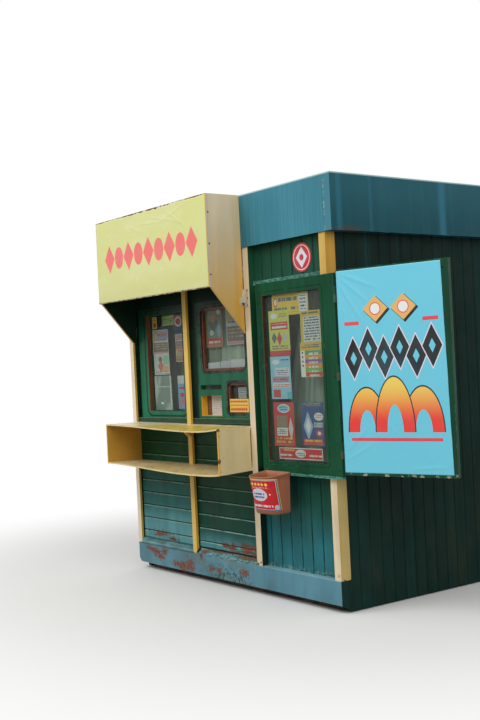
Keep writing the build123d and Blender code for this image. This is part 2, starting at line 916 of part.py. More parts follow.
with BuildPart() as litter_bin:
    with BuildSketch(Plane.XY.offset(bin_top)):
        bin_outline(0)
    extrude(amount=-bin_tub_height, taper=slope(bin_draft, bin_tub_height))
    with BuildSketch(Plane.XY.offset(bin_foot_top)):
        bin_outline(bin_draft)
    extrude(amount=-bin_foot_height, taper=slope(bin_foot_inset, bin_foot_height))
    add(bin_hollow.part, mode=Mode.SUBTRACT)
    split(bisect_by=mouth, keep=Keep.BOTTOM)
    add(bin_rim_ring.part)
    split(bisect_by=facing(bin_back), keep=Keep.TOP)
    # Lugs for a bail, moulded on each side under the rim
    lug_middle = bin_back - bin_depth / 2
    lug_top = bin_top - bin_front_drop / 2 - bin_rim_height
    for outer_x in (bin_middle_x - bin_width / 2 - bin_rim, bin_middle_x + bin_width / 2):
        with BuildSketch(Plane.YZ.offset(outer_x)):
            with Locations((lug_middle, lug_top - bin_lug_height / 2)):
                Rectangle(bin_lug_width, bin_lug_height)
            with Locations((lug_middle, lug_top - bin_lug_height + bin_lug_drop)):
                Circle(bin_lug_hole_radius, mode=Mode.SUBTRACT)
        extrude(amount=bin_lug_thickness)

with BuildPart() as bin_hooks:
    for side in (-1, 1):
        hook_x = bin_middle_x + side * bin_hook_spacing / 2
        with BuildSketch(Plane.YZ.offset(hook_x - bin_hook_width / 2)):
            with Locations(((ledge_face + bin_back) / 2, bin_top - bin_rim_height - ledge_height)):
                Rectangle(bin_stand_off, 2 * ledge_height)
        extrude(amount=bin_hook_width)

# Hasp over the corner of the canopy's right cheek and the post: an angle plate, an eye plate and a staple
with BuildPart() as hasp:
    with BuildSketch(Plane.XY.offset(hasp_bottom)):
        with BuildLine():
            Polyline(
                (serving_right, front),
                (serving_right, front - hasp_width),
                (serving_right + hasp_sheet, front - hasp_width),
                (serving_right + hasp_sheet, front - hasp_sheet),
                (serving_right + hasp_reach, front - hasp_sheet),
                (serving_right + hasp_reach, front),
                close=True,
            )
        make_face()
    extrude(amount=hasp_height)
    eye_y = front - hasp_width - hasp_eye_width / 2
    eye_z = hasp_bottom + hasp_eye_height / 2
    with BuildSketch(Plane.YZ.offset(serving_right)):
        with Locations((eye_y + hasp_eye_width / 4, eye_z)):
            SlotCenterToCenter(hasp_eye_height - hasp_eye_width, 1.5 * hasp_eye_width, rotation=90)
    extrude(amount=hasp_sheet)
    with BuildSketch(Plane.YZ.offset(serving_right)):
        for side in (-1, 1):
            with Locations((eye_y, eye_z + side * hasp_eye_hole_spacing / 2)):
                Circle(hasp_eye_hole_radius)
    extrude(amount=hasp_sheet, mode=Mode.SUBTRACT)
    with BuildSketch(Plane.YZ.offset(serving_right)):
        with Locations((front - hasp_staple_radius, hasp_bottom - hasp_staple_drop)):
            Circle(hasp_staple_radius)
        with Locations((front - hasp_staple_radius, hasp_bottom - hasp_staple_drop / 2)):
            Rectangle(2 * hasp_staple_radius, hasp_staple_drop)
    extrude(amount=hasp_reach)

pieces = {
    "base_bearers": base_bearers,
    "floor": floor,
    "roof": roof,
    "left_wall": left_wall,
    "right_wall": right_wall,
    "rear_wall": rear_wall,
    "rear_door_frame": rear_door_frame,
    "rear_door": rear_door,
    "rear_door_hinges": rear_door_hinges,
    "left_post": left_post,
    "middle_post": middle_post,
    "right_post": right_post,
    "corner_post": corner_post,
    "plinth_left": plinth_left,
    "plinth_right": plinth_right,
    "plinth_corner": plinth_corner,
    "bay_siding": bay_siding,
    "bay_sills": bay_sills,
    "header_boards": header_boards,
    "drip_boards": drip_boards,
    "left_window_frame": left_window_frame,
    "serving_panel": serving_panel,
    "hatch_sleeve": hatch_sleeve_box,
    "window_gaskets": window_gaskets,
    "window_beads": window_beads,
    "serving_glass": serving_glass,
    "boards_under_window": boards_under_window,
    "boards_over_window": boards_over_window,
    "jamb_board": jamb_board,
    "head_trim": head_trim,
    "show_window_frame": show_window_frame,
    "show_window_bead": show_window_bead,
    "show_window_glass": show_window_glass,
    "window_ledge": window_ledge,
    "fascia_front": fascia_front,
    "fascia_right": fascia_right,
    "fascia_rear": fascia_rear,
    "fascia_left": fascia_left,
    "fascia_left_return": fascia_left_return,
    "canopy_sign": canopy_sign,
    "canopy_left_cheek": canopy_left_cheek,
    "canopy_right_cheek": canopy_right_cheek,
    "canopy_roof": canopy_roof,
    "shelf_top": shelf_top,
    "shelf_bottom": shelf_bottom,
    "shelf_cheeks": shelf_cheeks,
    "shelf_braces": shelf_braces,
    "shutter_leaf": shutter_leaf,
    "hinge_pins": hinge_pins,
    "litter_bin": litter_bin,
    "bin_hooks": bin_hooks,
    "hasp": hasp,
}
for name, piece in pieces.items():
    piece.part.label = name
    export_step(piece.part, f"parts/{name}.step")
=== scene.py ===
"""Looks of the street kiosk: paints, boards, prints, curtains, fixings and light round its fixed frame.

Lengths are in metres, in the frame of the model: X along the serving front, Y into the kiosk, Z up.
"""
from functools import reduce
import json
from math import cos, pi, radians, sin
from operator import or_

import bpy
import numpy as np
from mathutils import Matrix, Vector


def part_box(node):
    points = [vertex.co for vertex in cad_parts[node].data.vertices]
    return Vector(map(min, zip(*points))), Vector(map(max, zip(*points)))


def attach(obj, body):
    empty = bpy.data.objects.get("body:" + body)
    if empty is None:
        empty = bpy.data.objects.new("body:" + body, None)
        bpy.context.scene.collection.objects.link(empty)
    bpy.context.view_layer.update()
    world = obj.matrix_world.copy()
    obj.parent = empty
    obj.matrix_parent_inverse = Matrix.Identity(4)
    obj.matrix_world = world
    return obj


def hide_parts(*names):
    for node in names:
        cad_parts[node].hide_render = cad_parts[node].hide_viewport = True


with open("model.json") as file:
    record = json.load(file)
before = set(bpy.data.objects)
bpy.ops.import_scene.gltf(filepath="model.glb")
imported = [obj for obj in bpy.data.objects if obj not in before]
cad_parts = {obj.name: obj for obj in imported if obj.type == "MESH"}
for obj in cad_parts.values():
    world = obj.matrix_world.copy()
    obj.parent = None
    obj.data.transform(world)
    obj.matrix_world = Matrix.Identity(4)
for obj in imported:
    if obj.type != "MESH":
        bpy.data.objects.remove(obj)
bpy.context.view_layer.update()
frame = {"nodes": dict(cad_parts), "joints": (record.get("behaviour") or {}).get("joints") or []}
nodes = frame["nodes"]


def low_high(node):
    """Lowest and highest corner of a node, as two arrays."""
    low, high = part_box(node)
    return np.array(low), np.array(high)


# Places that the pieces share
LEFT_POST_LOW, LEFT_POST_HIGH = low_high("left_post")
MIDDLE_POST_LOW, MIDDLE_POST_HIGH = low_high("middle_post")
RIGHT_POST_LEFT = low_high("right_post")[0][0]
SIDING_LOW, SIDING_HIGH = low_high("bay_siding")
SHOW_FRAME_LOW, SHOW_FRAME_HIGH = low_high("show_window_frame")
SERVING_GLASS_BACK = low_high("serving_glass")[1][1]
SHOW_GLASS_BACK = low_high("show_window_glass")[1][1]
FRONT = LEFT_POST_LOW[1]
WALL_BACK = LEFT_POST_HIGH[1]
SHOW_FACE = low_high("boards_over_window")[0][1]
DRIP_EDGE = low_high("drip_boards")[0][1]
BAYS = ((LEFT_POST_HIGH[0], MIDDLE_POST_LOW[0]), (MIDDLE_POST_HIGH[0], RIGHT_POST_LEFT))
LEAF_FOOT = low_high("shutter_leaf")[0][2]
HINGE = Vector(frame["joints"][0]["pos_m"])
SHUTTER_ANGLE = radians(15)
LEAF_ALONG = np.array([cos(SHUTTER_ANGLE), sin(SHUTTER_ANGLE), 0.0])
LEAF_OUT = np.array([sin(SHUTTER_ANGLE), -cos(SHUTTER_ANGLE), 0.0])


def rgb(red, green, blue):
    """A screen colour, 0 to 255 a channel, as the linear colour that a shader takes."""
    channels = np.array([red, green, blue]) / 255
    linear = np.where(channels > 0.04045, ((channels + 0.055) / 1.055) ** 2.4, channels / 12.92)
    return (*linear.tolist(), 1.0)


# Colours
DEEP_GREEN = rgb(11, 40, 26)
CLADDING_GREEN = rgb(12, 36, 31)
BOARD_GREEN = rgb(26, 72, 52)
SIDING_BLUE = rgb(84, 146, 152)
PLINTH_BLUE = rgb(90, 140, 156)
FASCIA_FRONT_BLUE = rgb(56, 124, 142)
FASCIA_SIDE_TEAL = rgb(22, 76, 86)
TRIM_TEAL = rgb(84, 140, 128)
CREAM = rgb(222, 203, 170)
OCHRE = rgb(222, 176, 76)
BEIGE = rgb(216, 200, 168)
PRIMER_BROWN = rgb(140, 84, 64)
RUST = rgb(98, 60, 42)
GRIME = rgb(58, 56, 44)
BLACK = rgb(26, 26, 28)
WHITE = rgb(232, 232, 228)

# How dull and how deep worn places are, and how closely cloth is woven, in radians a metre
WORN_ROUGHNESS = (0.85, 0.85, 0.85, 1)
WORN_DEPTH = 0.0008
WEAVE = 2600.0

# Each side's axis and which way along it the side looks
SIDES = {"left": (0, -1), "right": (0, 1), "front": (1, -1), "top": (2, 1), "underside": (2, -1)}


class Mask:
    """What a shader socket gives over the surface: a share, a height, a colour or a place.

    * multiplies, + adds, - takes away, | keeps the larger of two and abs() drops the sign.
    """

    def __init__(self, nodes, socket):
        self.nodes = nodes
        self.socket = socket

    def __mul__(self, other):
        return self.nodes.maths("MULTIPLY", self, other)

    __rmul__ = __mul__

    def __add__(self, other):
        return self.nodes.maths("ADD", self, other)

    def __sub__(self, other):
        return self.nodes.maths("SUBTRACT", self, other)

    def __rsub__(self, other):
        return self.nodes.maths("SUBTRACT", other, self)

    def __or__(self, other):
        return self.nodes.maths("MAXIMUM", self, other)

    def __abs__(self):
        return self.nodes.maths("ABSOLUTE", self)

    def ramp(self, start, end, low=0.0, high=1.0):
        """Eased step: low at start, high at end."""
        made = self.nodes.node("ShaderNodeMapRange", interpolation_type="SMOOTHSTEP")
        return self.nodes.joined(made, (self, start, end, low, high))

    def within(self, low, high, soft):
        """1 between two limits, eased over a soft edge."""
        return self.ramp(low - soft, low + soft) * self.ramp(high - soft, high + soft, 1.0, 0.0)


class Nodes:
    """A node tree, emptied. Each step adds a node and returns the mask that it gives."""

    def __init__(self, tree):
        self.tree = tree
        tree.nodes.clear()

    def node(self, kind, **settings):
        """Add a node and set what it is told."""
        made = self.tree.nodes.new(kind)
        for key, value in settings.items():
            setattr(made, key, value)
        return made

    def feed(self, socket, value):
        """Link a socket to a mask or another socket, or set a plain number or colour on it."""
        if isinstance(value, Mask):
            value = value.socket
        if isinstance(value, bpy.types.NodeSocket):
            self.tree.links.new(value, socket)
        else:
            socket.default_value = value

    def joined(self, made, values, output=0):
        """Feed a node's inputs in their order, or by their names, and return one output."""
        pairs = values.items() if isinstance(values, dict) else enumerate(values)
        for place, value in pairs:
            self.feed(made.inputs[place], value)
        return Mask(self, made.outputs[output])

    def maths(self, operation, *values):
        """One step of arithmetic on numbers."""
        return self.joined(self.node("ShaderNodeMath", operation=operation), values)

    def vector(self, operation, *values):
        """One step of arithmetic on places; LENGTH and DOT_PRODUCT give a number."""
        made = self.node("ShaderNodeVectorMath", operation=operation)
        return self.joined(made, values, "Value" if operation in ("LENGTH", "DOT_PRODUCT") else "Vector")

    def parts(self, vector):
        """The three parts of a place or direction."""
        made = self.node("ShaderNodeSeparateXYZ")
        self.feed(made.inputs[0], vector)
        return [Mask(self, part) for part in made.outputs]

    def ray(self, kind):
        """1 for light rays of a kind: Camera, Diffuse, Glossy, Transmission or Shadow."""
        return Mask(self, self.node("ShaderNodeLightPath").outputs[f"Is {kind} Ray"])

    def mix(self, share, first, second, blend="MIX"):
        """The first colour, by a share the second."""
        made = self.node("ShaderNodeMix", data_type="RGBA", blend_type=blend)
        return self.joined(made, {0: share, 6: first, 7: second}, 2)


class Paint(Nodes):
    """The nodes of one finish over Object coordinates, with the colour that its coats have reached."""

    def __init__(self, name, colour=None):
        self.material = bpy.data.materials.new(name)
        self.material.use_nodes = True
        super().__init__(self.material.node_tree)
        self.colour = colour
        coordinates = self.node("ShaderNodeTexCoord")
        self.place = coordinates.outputs["Object"]
        self.facing = coordinates.outputs["Normal"]
        self.shader = self.node("ShaderNodeBsdfPrincipled")
        self.end = self.node("ShaderNodeOutputMaterial")
        self.feed(self.end.inputs["Surface"], self.shader.outputs[0])
        self.x, self.y, self.z = self.parts(self.place)

    def cover(self, share, colour):
        """Lay another colour over the coats so far, where the share is 1."""
        self.colour = self.mix(share, self.colour, colour)

    def noise(self, scale, stretch=(1, 1, 1), detail=3.0, shift=0.0):
        """Cloudy noise, 0 to 1: `scale` blotches a metre, times the stretch along each axis."""
        place = self.vector("MULTIPLY_ADD", self.place, stretch, (shift, 1.7 * shift, 0.6 * shift))
        made = self.node("ShaderNodeTexNoise")
        return self.joined(made, {"Vector": place, "Scale": scale, "Detail": detail})

    def waver(self, place, reach, *noise, **shift):
        """A place along an axis, moved by up to a reach of noise."""
        return self.maths("MULTIPLY_ADD", self.noise(*noise, **shift), reach, place)

    def blot(self, centre, reach, ragged=0.35, scale=22, shift=0.0):
        """1 inside a ragged blot: the distance from its centre, in shares of its reach, plus noise."""
        offset = [-c / r for c, r in zip(centre, reach)]
        inside = self.vector("MULTIPLY_ADD", self.place, [1 / r for r in reach], offset)
        coarse = self.waver(self.vector("LENGTH", inside), 2.6 * ragged, scale, shift=shift)
        flaked = self.waver(coarse, 4.6 * ragged, 3.2 * scale, detail=6, shift=shift)
        return flaked.ramp(0.97 + 3.6 * ragged, 1.03 + 3.6 * ragged, 1.0, 0.0)

    def chips(self, share, scale=34, shift=6.0, region=None):
        """Scattered small chips in the paint: the peaks of a noise, within a region."""
        peaks = self.noise(scale, detail=6, shift=shift).ramp(1 - share, 1.03 - share)
        return peaks if region is None else peaks * region

    def faces(self, side):
        """1 on faces that look to a side, in the piece's own space."""
        axis, sign = SIDES[side]
        return self.parts(self.facing)[axis].ramp(0.4 * sign, 0.6 * sign)

    def edges(self, reach):
        """1 on the arrises of a solid, by how far a rounded normal turns from the flat one."""
        rounded = self.node("ShaderNodeBevel", samples=4)
        rounded.inputs["Radius"].default_value = reach
        flat = self.node("ShaderNodeNewGeometry").outputs["Normal"]
        return self.vector("DOT_PRODUCT", rounded.outputs[0], flat).ramp(0.98, 0.80)

    def bump(self, height, depth, strength=1.0, over=None):
        """The normal of a relief, over another relief if one is given."""
        sockets = {"Strength": strength, "Distance": depth, "Height": height}
        if over is not None:
            sockets["Normal"] = over
        return self.joined(self.node("ShaderNodeBump"), sockets)

    def veil(self, share, behind, before):
        """Show one shader through another, by a share."""
        either = self.joined(self.node("ShaderNodeMixShader"), (share, behind, before))
        self.feed(self.end.inputs["Surface"], either)

    def settle(self, sockets):
        """Feed the shader's sockets, by name, and give the finished material."""
        self.joined(self.shader, sockets)
        return self.material


def weather(
    paint, clouds=0.16, streaks=0.16, grime=0.35, grime_top=0.9, worn=None, worn_colour=PRIMER_BROWN,
    gloss=(0.32, 0.5), grain=(9, 9, 1.2), grain_depth=0.0006, edge_wear=0.0, edge_colour=CREAM, shine=0.2,
):
    """Age a coat of paint: clouds and streaks in its colour, grime that rises from the ground, worn places.

    worn is a mask, 0 to 1, of places where the paint is gone; they lie deeper and are duller.
    edge_wear is the share of the arrises that is rubbed to edge_colour. shine is the shader's specular level.
    """
    cloud = paint.noise(2.1, shift=3.1).ramp(0.3, 0.7, 1 - clouds, 1 + clouds)
    streak = paint.noise(14, (1, 1, 0.05), 4, shift=1.3).ramp(0.32, 0.68, 1 - streaks, 1 + streaks)
    paint.colour = paint.mix(1.0, paint.colour, cloud * streak, "MULTIPLY")
    height = paint.z.ramp(0.0, grime_top, 1.0, 0.0)
    smears = paint.noise(6, (1, 1, 0.4), 6, shift=7.7).ramp(0.42, 0.75)
    paint.cover(paint.maths("MULTIPLY_ADD", height, 0.75, 0.25) * smears * grime, GRIME)
    rough = paint.noise(11, detail=4, shift=5.0).ramp(0.3, 0.7, *gloss)
    normal = paint.bump(paint.noise(26, grain, 3, shift=2.2), grain_depth)
    if edge_wear:
        rubbed = paint.noise(19, detail=5, shift=9.4).ramp(1 - edge_wear, 1.06 - edge_wear)
        edge = paint.edges(0.004) * rubbed
        paint.cover(edge, edge_colour)
        rough = paint.maths("MULTIPLY_ADD", edge, 0.25, rough)
    if worn is not None:
        spots = paint.noise(60, detail=2, shift=4.4).ramp(0.3, 0.7, 0.75, 1.15)
        paint.cover(worn, paint.mix(1.0, worn_colour, spots, "MULTIPLY"))
        rough = paint.mix(worn, rough, WORN_ROUGHNESS)
        normal = paint.bump(worn, -WORN_DEPTH, over=normal)
    return paint.settle({
        "Base Color": paint.colour, "Roughness": rough, "Specular IOR Level": shine, "Normal": normal,
    })


def most(*masks):
    """The largest of some masks."""
    return reduce(or_, masks)


# Finishes
def green_gloss(name, colour, wear=0.42, dark=(1.5, 2.1, 0.0), seam=None, shine=0.1, shaded_until=None):
    """Green oil paint on window frames, serving panel, jamb and rear door, with rubbed arrises.

    dark gives the heights between which the paint deepens, and how far: painted shade of the canopy.
    seam is a thin black line of putty round a window: the middle, half width, half height and corner radius
    of its rounded outline; with a seam, the frame's strip beside the left post is darkened as painted shade.
    The last argument is the place along X up to which painted shade spreads beside a post.
    """
    paint = Paint(name)
    # Painted shade of the canopy: the green deepens upwards between the heights that dark gives
    paint.colour = paint.mix(paint.z.ramp(dark[0], dark[1], 0.0, dark[2]), colour, DEEP_GREEN)
    if shaded_until is not None:
        # Painted shade beside the post: a near black band with a wavering edge
        edge = paint.waver(paint.x, 0.05, 9, (1, 1, 0.5), 5, shift=5.2)
        paint.cover(edge.ramp(shaded_until + 0.055, shaded_until + 0.02, 0.0, 0.92), rgb(18, 28, 24))
    if seam is not None:
        (across, up), half_width, half_height, radius = seam
        offset = paint.vector("SUBTRACT", paint.place, (across, 0, up))
        offset = paint.vector("ABSOLUTE", paint.vector("MULTIPLY", offset, (1, 0, 1)))
        corner = (half_width - radius, 0, half_height - radius)
        beyond = paint.vector("MAXIMUM", paint.vector("SUBTRACT", offset, corner), (0, 0, 0))
        away = abs(paint.vector("LENGTH", beyond) - radius)
        paint.cover(away.ramp(0.006, 0.003), rgb(10, 16, 12))
        # Painted shade: the frame's strip beside the left post darkened
        paint.cover(paint.x.ramp(LEFT_POST_HIGH[0] + 0.042, LEFT_POST_HIGH[0] + 0.034), rgb(8, 22, 14))
    return weather(
        paint, worn=paint.chips(0.25), worn_colour=rgb(96, 112, 90), gloss=(0.25, 0.42), edge_wear=wear,
        edge_colour=rgb(84, 126, 102), grime=0.12, shine=shine,
    )


def cladding_paint():
    """Dark green paint of the side and rear boards and of the corner sheet, bluer in long pale runs."""
    paint = Paint("dark green cladding paint")
    runs = paint.noise(11, (1, 1, 0.02), 3, shift=8.1).ramp(0.55, 0.75)
    high = paint.z.ramp(1.6, 2.4, 0.35, 0.8)
    paint.colour = paint.mix(runs * high, CLADDING_GREEN, rgb(18, 62, 66))
    paint.cover(paint.z.ramp(0.0, 1.3, 0.35, 0.0), rgb(26, 54, 46))
    return weather(
        paint, clouds=0.2, gloss=(0.35, 0.55), grime=0.4, worn=paint.chips(0.22),
        worn_colour=rgb(70, 60, 48), edge_wear=0.5, edge_colour=rgb(48, 76, 66), shine=0.07,
    )


def header_paint_and_shade():
    """Nearly black green on the boards behind the canopy: dark paint, with painted shade of the canopy in it.
    """
    paint = Paint("deep green header paint", rgb(11, 32, 21))
    return weather(paint, gloss=(0.3, 0.5), grime=0.1, edge_wear=0.3, edge_colour=rgb(30, 60, 44), shine=0.06)


def siding_paint():
    """Green at the top of the serving bays, blue-teal lower, more so on the left; peeled low on the right."""
    paint = Paint("siding paint")
    noise = paint.waver(paint.z, 0.16, 3, (1, 1, 3), shift=1.9)
    left_bay = paint.x.ramp(MIDDLE_POST_LOW[0], MIDDLE_POST_HIGH[0], 0.14, 0.0)
    level = noise - left_bay
    teal = level.ramp(0.84, 0.5)
    blue = level.ramp(0.52, 0.26)
    bay = paint.x.ramp(MIDDLE_POST_LOW[0], MIDDLE_POST_HIGH[0])
    paint.colour = paint.mix(teal, rgb(22, 68, 42), paint.mix(bay, rgb(40, 100, 94), rgb(17, 62, 50)))
    paint.cover(blue, paint.mix(bay, rgb(98, 162, 168), SIDING_BLUE))
    # Painted highlight: the coves, set back from the board faces, paler in broken streaks, most of all low
    # down
    inward = paint.y.ramp(SIDING_LOW[1] + 0.001, SIDING_LOW[1] + 0.003)
    broken = paint.noise(11, (1, 1, 3), 5, shift=3.7).ramp(0.28, 0.55, 0.25, 1.0)
    rubbed = inward * broken * paint.z.ramp(1.1, 0.7, 0.3, 0.9)
    paint.cover(rubbed, rgb(132, 170, 160))
    # Painted shade in the deepest part of each cove, under the board above
    paint.cover(paint.y.ramp(SIDING_LOW[1] + 0.006, SIDING_LOW[1] + 0.0085), rgb(18, 34, 26))
    # Painted shade: a dark ragged band at the foot of the siding for the gap behind the drip boards
    gap_shade = paint.waver(paint.z, 0.012, 9, shift=4.6).ramp(0.262, 0.258)
    paint.cover(gap_shade * bay.ramp(0, 1, 0.6, 0.95), rgb(14, 16, 14))
    remnants = paint.noise(34, (0.3, 1, 3), 6, shift=1.1).ramp(0.4, 0.5)
    peeled = most(
        paint.blot((0.2, FRONT, 0.28), (0.26, 0.4, 0.05), 0.35, 16) * remnants,
        paint.blot((-0.06, FRONT, 0.292), (0.05, 0.4, 0.016), 0.5, 26),
        paint.blot((-0.93, FRONT, 0.292), (0.13, 0.4, 0.02), 1.0, 30),
        paint.blot((-0.74, FRONT, 0.262), (0.06, 0.4, 0.016), 1.0, 30, 2.0),
        paint.chips(0.27, region=paint.z.ramp(0.5, 0.25)),
    )
    wood = paint.mix(
        paint.noise(30, (0.2, 1, 4), 5, shift=2.0).ramp(0.35, 0.65), rgb(128, 86, 70), rgb(98, 74, 60),
    )
    return weather(
        paint, streaks=0.07, worn=peeled * (1.0 - gap_shade), worn_colour=wood, gloss=(0.3, 0.5), grime=0.3,
        grain=(1, 9, 9), edge_wear=0.3, edge_colour=rgb(110, 156, 146), shine=0.08,
    )


def drip_paint():
    """Pale blue drip boards: split and peeled to the wood; a hole by the middle post is painted black as
    shade.
    """
    paint = Paint("drip board paint")
    split = most(
        paint.blot((0.24, FRONT, 0.235), (0.14, 0.3, 0.012), 0.6, 30),
        paint.blot((-0.10, FRONT, 0.240), (0.16, 0.3, 0.008), 0.6, 30),
        paint.blot((-0.28, FRONT, 0.225), (0.05, 0.3, 0.014), 0.6, 34),
        paint.chips(0.3),
    )
    noise = paint.noise(8, (1, 1, 4)).ramp(0.35, 0.65)
    paint.colour = paint.mix(noise, rgb(66, 116, 116), rgb(94, 144, 152))
    # Painted shade along the back of the drip boards, in their gap at the siding, darker in the right bay
    joint = paint.y.ramp(SIDING_LOW[1] - 0.0105, SIDING_LOW[1] - 0.0085)
    paint.cover(joint * paint.x.ramp(-0.42, -0.4, 0.7, 0.95), rgb(16, 18, 16))
    # Painted highlight along the lip of the drip boards
    lip = paint.y.ramp(DRIP_EDGE + 0.01, DRIP_EDGE + 0.004) * paint.z.ramp(0.21, 0.214)
    paint.cover(lip * 0.6, rgb(128, 172, 172))
    # A hole beside the middle post, painted black as the shade inside it
    paint.cover(paint.blot((-0.375, FRONT, 0.226), (0.030, 0.3, 0.020), 0.4, 30), rgb(12, 14, 12))
    return weather(
        paint, worn=split, worn_colour=rgb(104, 82, 66), grime=0.45, grain=(1, 9, 9), edge_wear=0.5,
        edge_colour=rgb(130, 170, 174),
    )


def boards_paint(name, top_colour, low_colour, top, low, grime):
    """Paint of the show bay's boards, one colour at the top and another at the foot; mould in the joints."""
    paint = Paint(name)
    wander = paint.waver(paint.z, 0.25, 5, (1, 1, 0.5))
    paint.colour = paint.mix(wander.ramp(top, low), top_colour, low_colour)
    mould = paint.noise(30, (1, 1, 0.35), 5).ramp(0.35, 0.6)
    paint.cover(paint.y.ramp(SHOW_FACE + 0.0015, SHOW_FACE + 0.006) * mould, rgb(22, 34, 28))
    foot = paint.z.ramp(0.25, 0.212)
    paint.cover(paint.chips(0.46, 60, 1.2, foot), rgb(112, 140, 132))
    crumbs = paint.chips(0.24) | paint.chips(0.42, 44, 2.2, foot)
    return weather(
        paint, gloss=(0.28, 0.46), grime=grime, worn=crumbs, worn_colour=rgb(72, 60, 48), streaks=0.1,
        shine=0.07,
    )


def plinth_paint(name, worn_out):
    """Light blue sheet: brown primer where the paint has gone, dark green dirt low, runs from rain."""
    paint = Paint(name, PLINTH_BLUE)
    worn = paint.chips(0.22)
    if worn_out:
        patches = (
            (-1.03, 0.168, 0.05, 0.014), (-0.955, 0.15, 0.04, 0.02), (-0.90, 0.118, 0.035, 0.016),
            (-0.83, 0.168, 0.035, 0.022), (-0.66, 0.093, 0.05, 0.014), (-0.585, 0.085, 0.03, 0.024),
            (-0.49, 0.1, 0.045, 0.036), (-0.20, 0.112, 0.035, 0.014), (-0.11, 0.108, 0.02, 0.012),
            (0.205, 0.128, 0.035, 0.018), (-0.335, 0.185, 0.014, 0.02),
        )
        for x, z, wide, high in patches:
            worn |= paint.blot((x, FRONT, z), (1.25 * wide, 0.2, 1.25 * high), 1.0, 34, shift=x)
        region = paint.x.within(-0.26, 0.24, 0.1) * paint.z.ramp(0.19, 0.09)
        moss = region * paint.noise(70, (1, 1, 0.7), 6).ramp(0.47, 0.6)
        smudge = paint.noise(5, (1, 1, 2.5), 6, shift=9.1).ramp(0.42, 0.62, 0.0, 0.6)
        middle = paint.x.within(-0.62, 0.28, 0.2)
        paint.cover(smudge * middle.ramp(0, 1, 0.4, 1.0), rgb(96, 112, 104))
        paint.cover(moss, rgb(40, 74, 66))
    runs = paint.noise(16, (1, 1, 0.06), shift=6.6).ramp(0.5, 0.75)
    paint.cover(runs * 0.14, rgb(64, 124, 156))
    # Painted highlight along the plinth's top rim
    paint.cover(paint.z.ramp(0.196, 0.204) * 0.5, rgb(150, 190, 200))
    shaded = paint.z.ramp(0.197, 0.2) * paint.x.ramp(-0.4, -0.44)
    paint.cover(shaded * 0.75, rgb(30, 48, 50))
    return weather(
        paint, streaks=0.05, worn=worn, worn_colour=rgb(128, 80, 68), grime=0.35, grime_top=0.2,
        gloss=(0.3, 0.5), edge_wear=0.5, edge_colour=rgb(150, 188, 196),
    )


def post_paint(name, front_colour, side_colour, far_side_colour, foot=None, lap=0.0):
    """A post: its front, its left side and back, and its right side in their own colours.

    lap is how far the left side's colour runs round the right side's front arris. foot gives a height, and
    the colours below it: of the front and left side, and of the right side.
    """
    paint = Paint(name)
    paint.colour = paint.mix(paint.faces("front"), side_colour, front_colour)
    lapped = paint.y.ramp(FRONT + lap + 0.001, FRONT + lap - 0.001)
    paint.cover(paint.faces("right"), paint.mix(lapped, far_side_colour, side_colour))
    if foot is not None:
        height, *colours = foot
        below = paint.mix(paint.faces("right"), *colours)
        paint.cover(paint.z.ramp(height + 0.02, height - 0.02), below)
    worn = paint.chips(0.24, 40) | paint.chips(0.42, 30, 2.0, paint.z.ramp(0.26, 0.2))
    return weather(
        paint, clouds=0.08, streaks=0.08, worn=worn, worn_colour=RUST, grime=0.35, grime_top=0.6,
        gloss=(0.3, 0.5), edge_wear=0.34, edge_colour=rgb(150, 120, 84),
    )


# Where along Y the seam up the right cheeks opens
CHEEK_SEAM = (-1.062, -1.054)


def shelf_paint():
    """Ochre boards: pale rubbed tops, cream front edges with brown chips, browner inside the left cheek."""
    paint = Paint("shelf paint")
    top, front, sideways = paint.faces("top"), paint.faces("front"), paint.faces("right")
    wander = paint.waver(paint.x, 0.5, 3, (1, 2.5, 1), 5, shift=2.7)
    yellow = wander.within(-0.42, 0.8, 0.16)
    near = paint.waver(paint.y, 0.3, 4, (1, 3, 1), shift=6.1).ramp(-0.88, -1.02)
    upper = paint.z.ramp(1.0, 1.1)
    yellow = yellow * (near * upper.ramp(0, 1, 0.45, 0.95))
    tops = paint.mix(yellow, rgb(226, 210, 172), rgb(206, 180, 76))
    tops = paint.mix(upper.ramp(0, 1, 0.5, 0.0), tops, rgb(190, 168, 116))
    paint.colour = paint.mix(top, rgb(226, 178, 78), tops)
    board_edge = front * paint.x.within(-1.155, 0.335, 0.004) * paint.y.ramp(-1.25, -1.27)
    paint.cover(board_edge, rgb(226, 206, 152))
    paint.cover(sideways * paint.x.ramp(-1.0, -1.1), rgb(206, 158, 66))
    outside = sideways * paint.x.ramp(0.335, 0.345)
    paint.cover(outside, rgb(222, 202, 152))
    paint.cover(outside * paint.y.ramp(-1.318, -1.324), rgb(216, 174, 84))
    worn = most(
        paint.chips(0.24, 46, 1.0, front), paint.chips(0.13, 60, 4.0, top),
        paint.blot((0.355, -1.325, 1.148), (0.02, 0.012, 0.010), 0.5, 60),
        paint.blot((0.355, -1.325, 0.938), (0.02, 0.010, 0.014), 0.5, 60),
    )
    seam = outside * paint.y.ramp(*CHEEK_SEAM) * paint.noise(30, (1, 1, 0.3)).ramp(0.42, 0.5)
    return weather(
        paint, clouds=0.08, streaks=0.04, worn=worn | seam, worn_colour=rgb(112, 78, 44), grime=0.1,
        grime_top=2.5, gloss=(0.25, 0.42), grain=(1, 9, 9), edge_wear=0.36, edge_colour=rgb(226, 204, 150),
    )


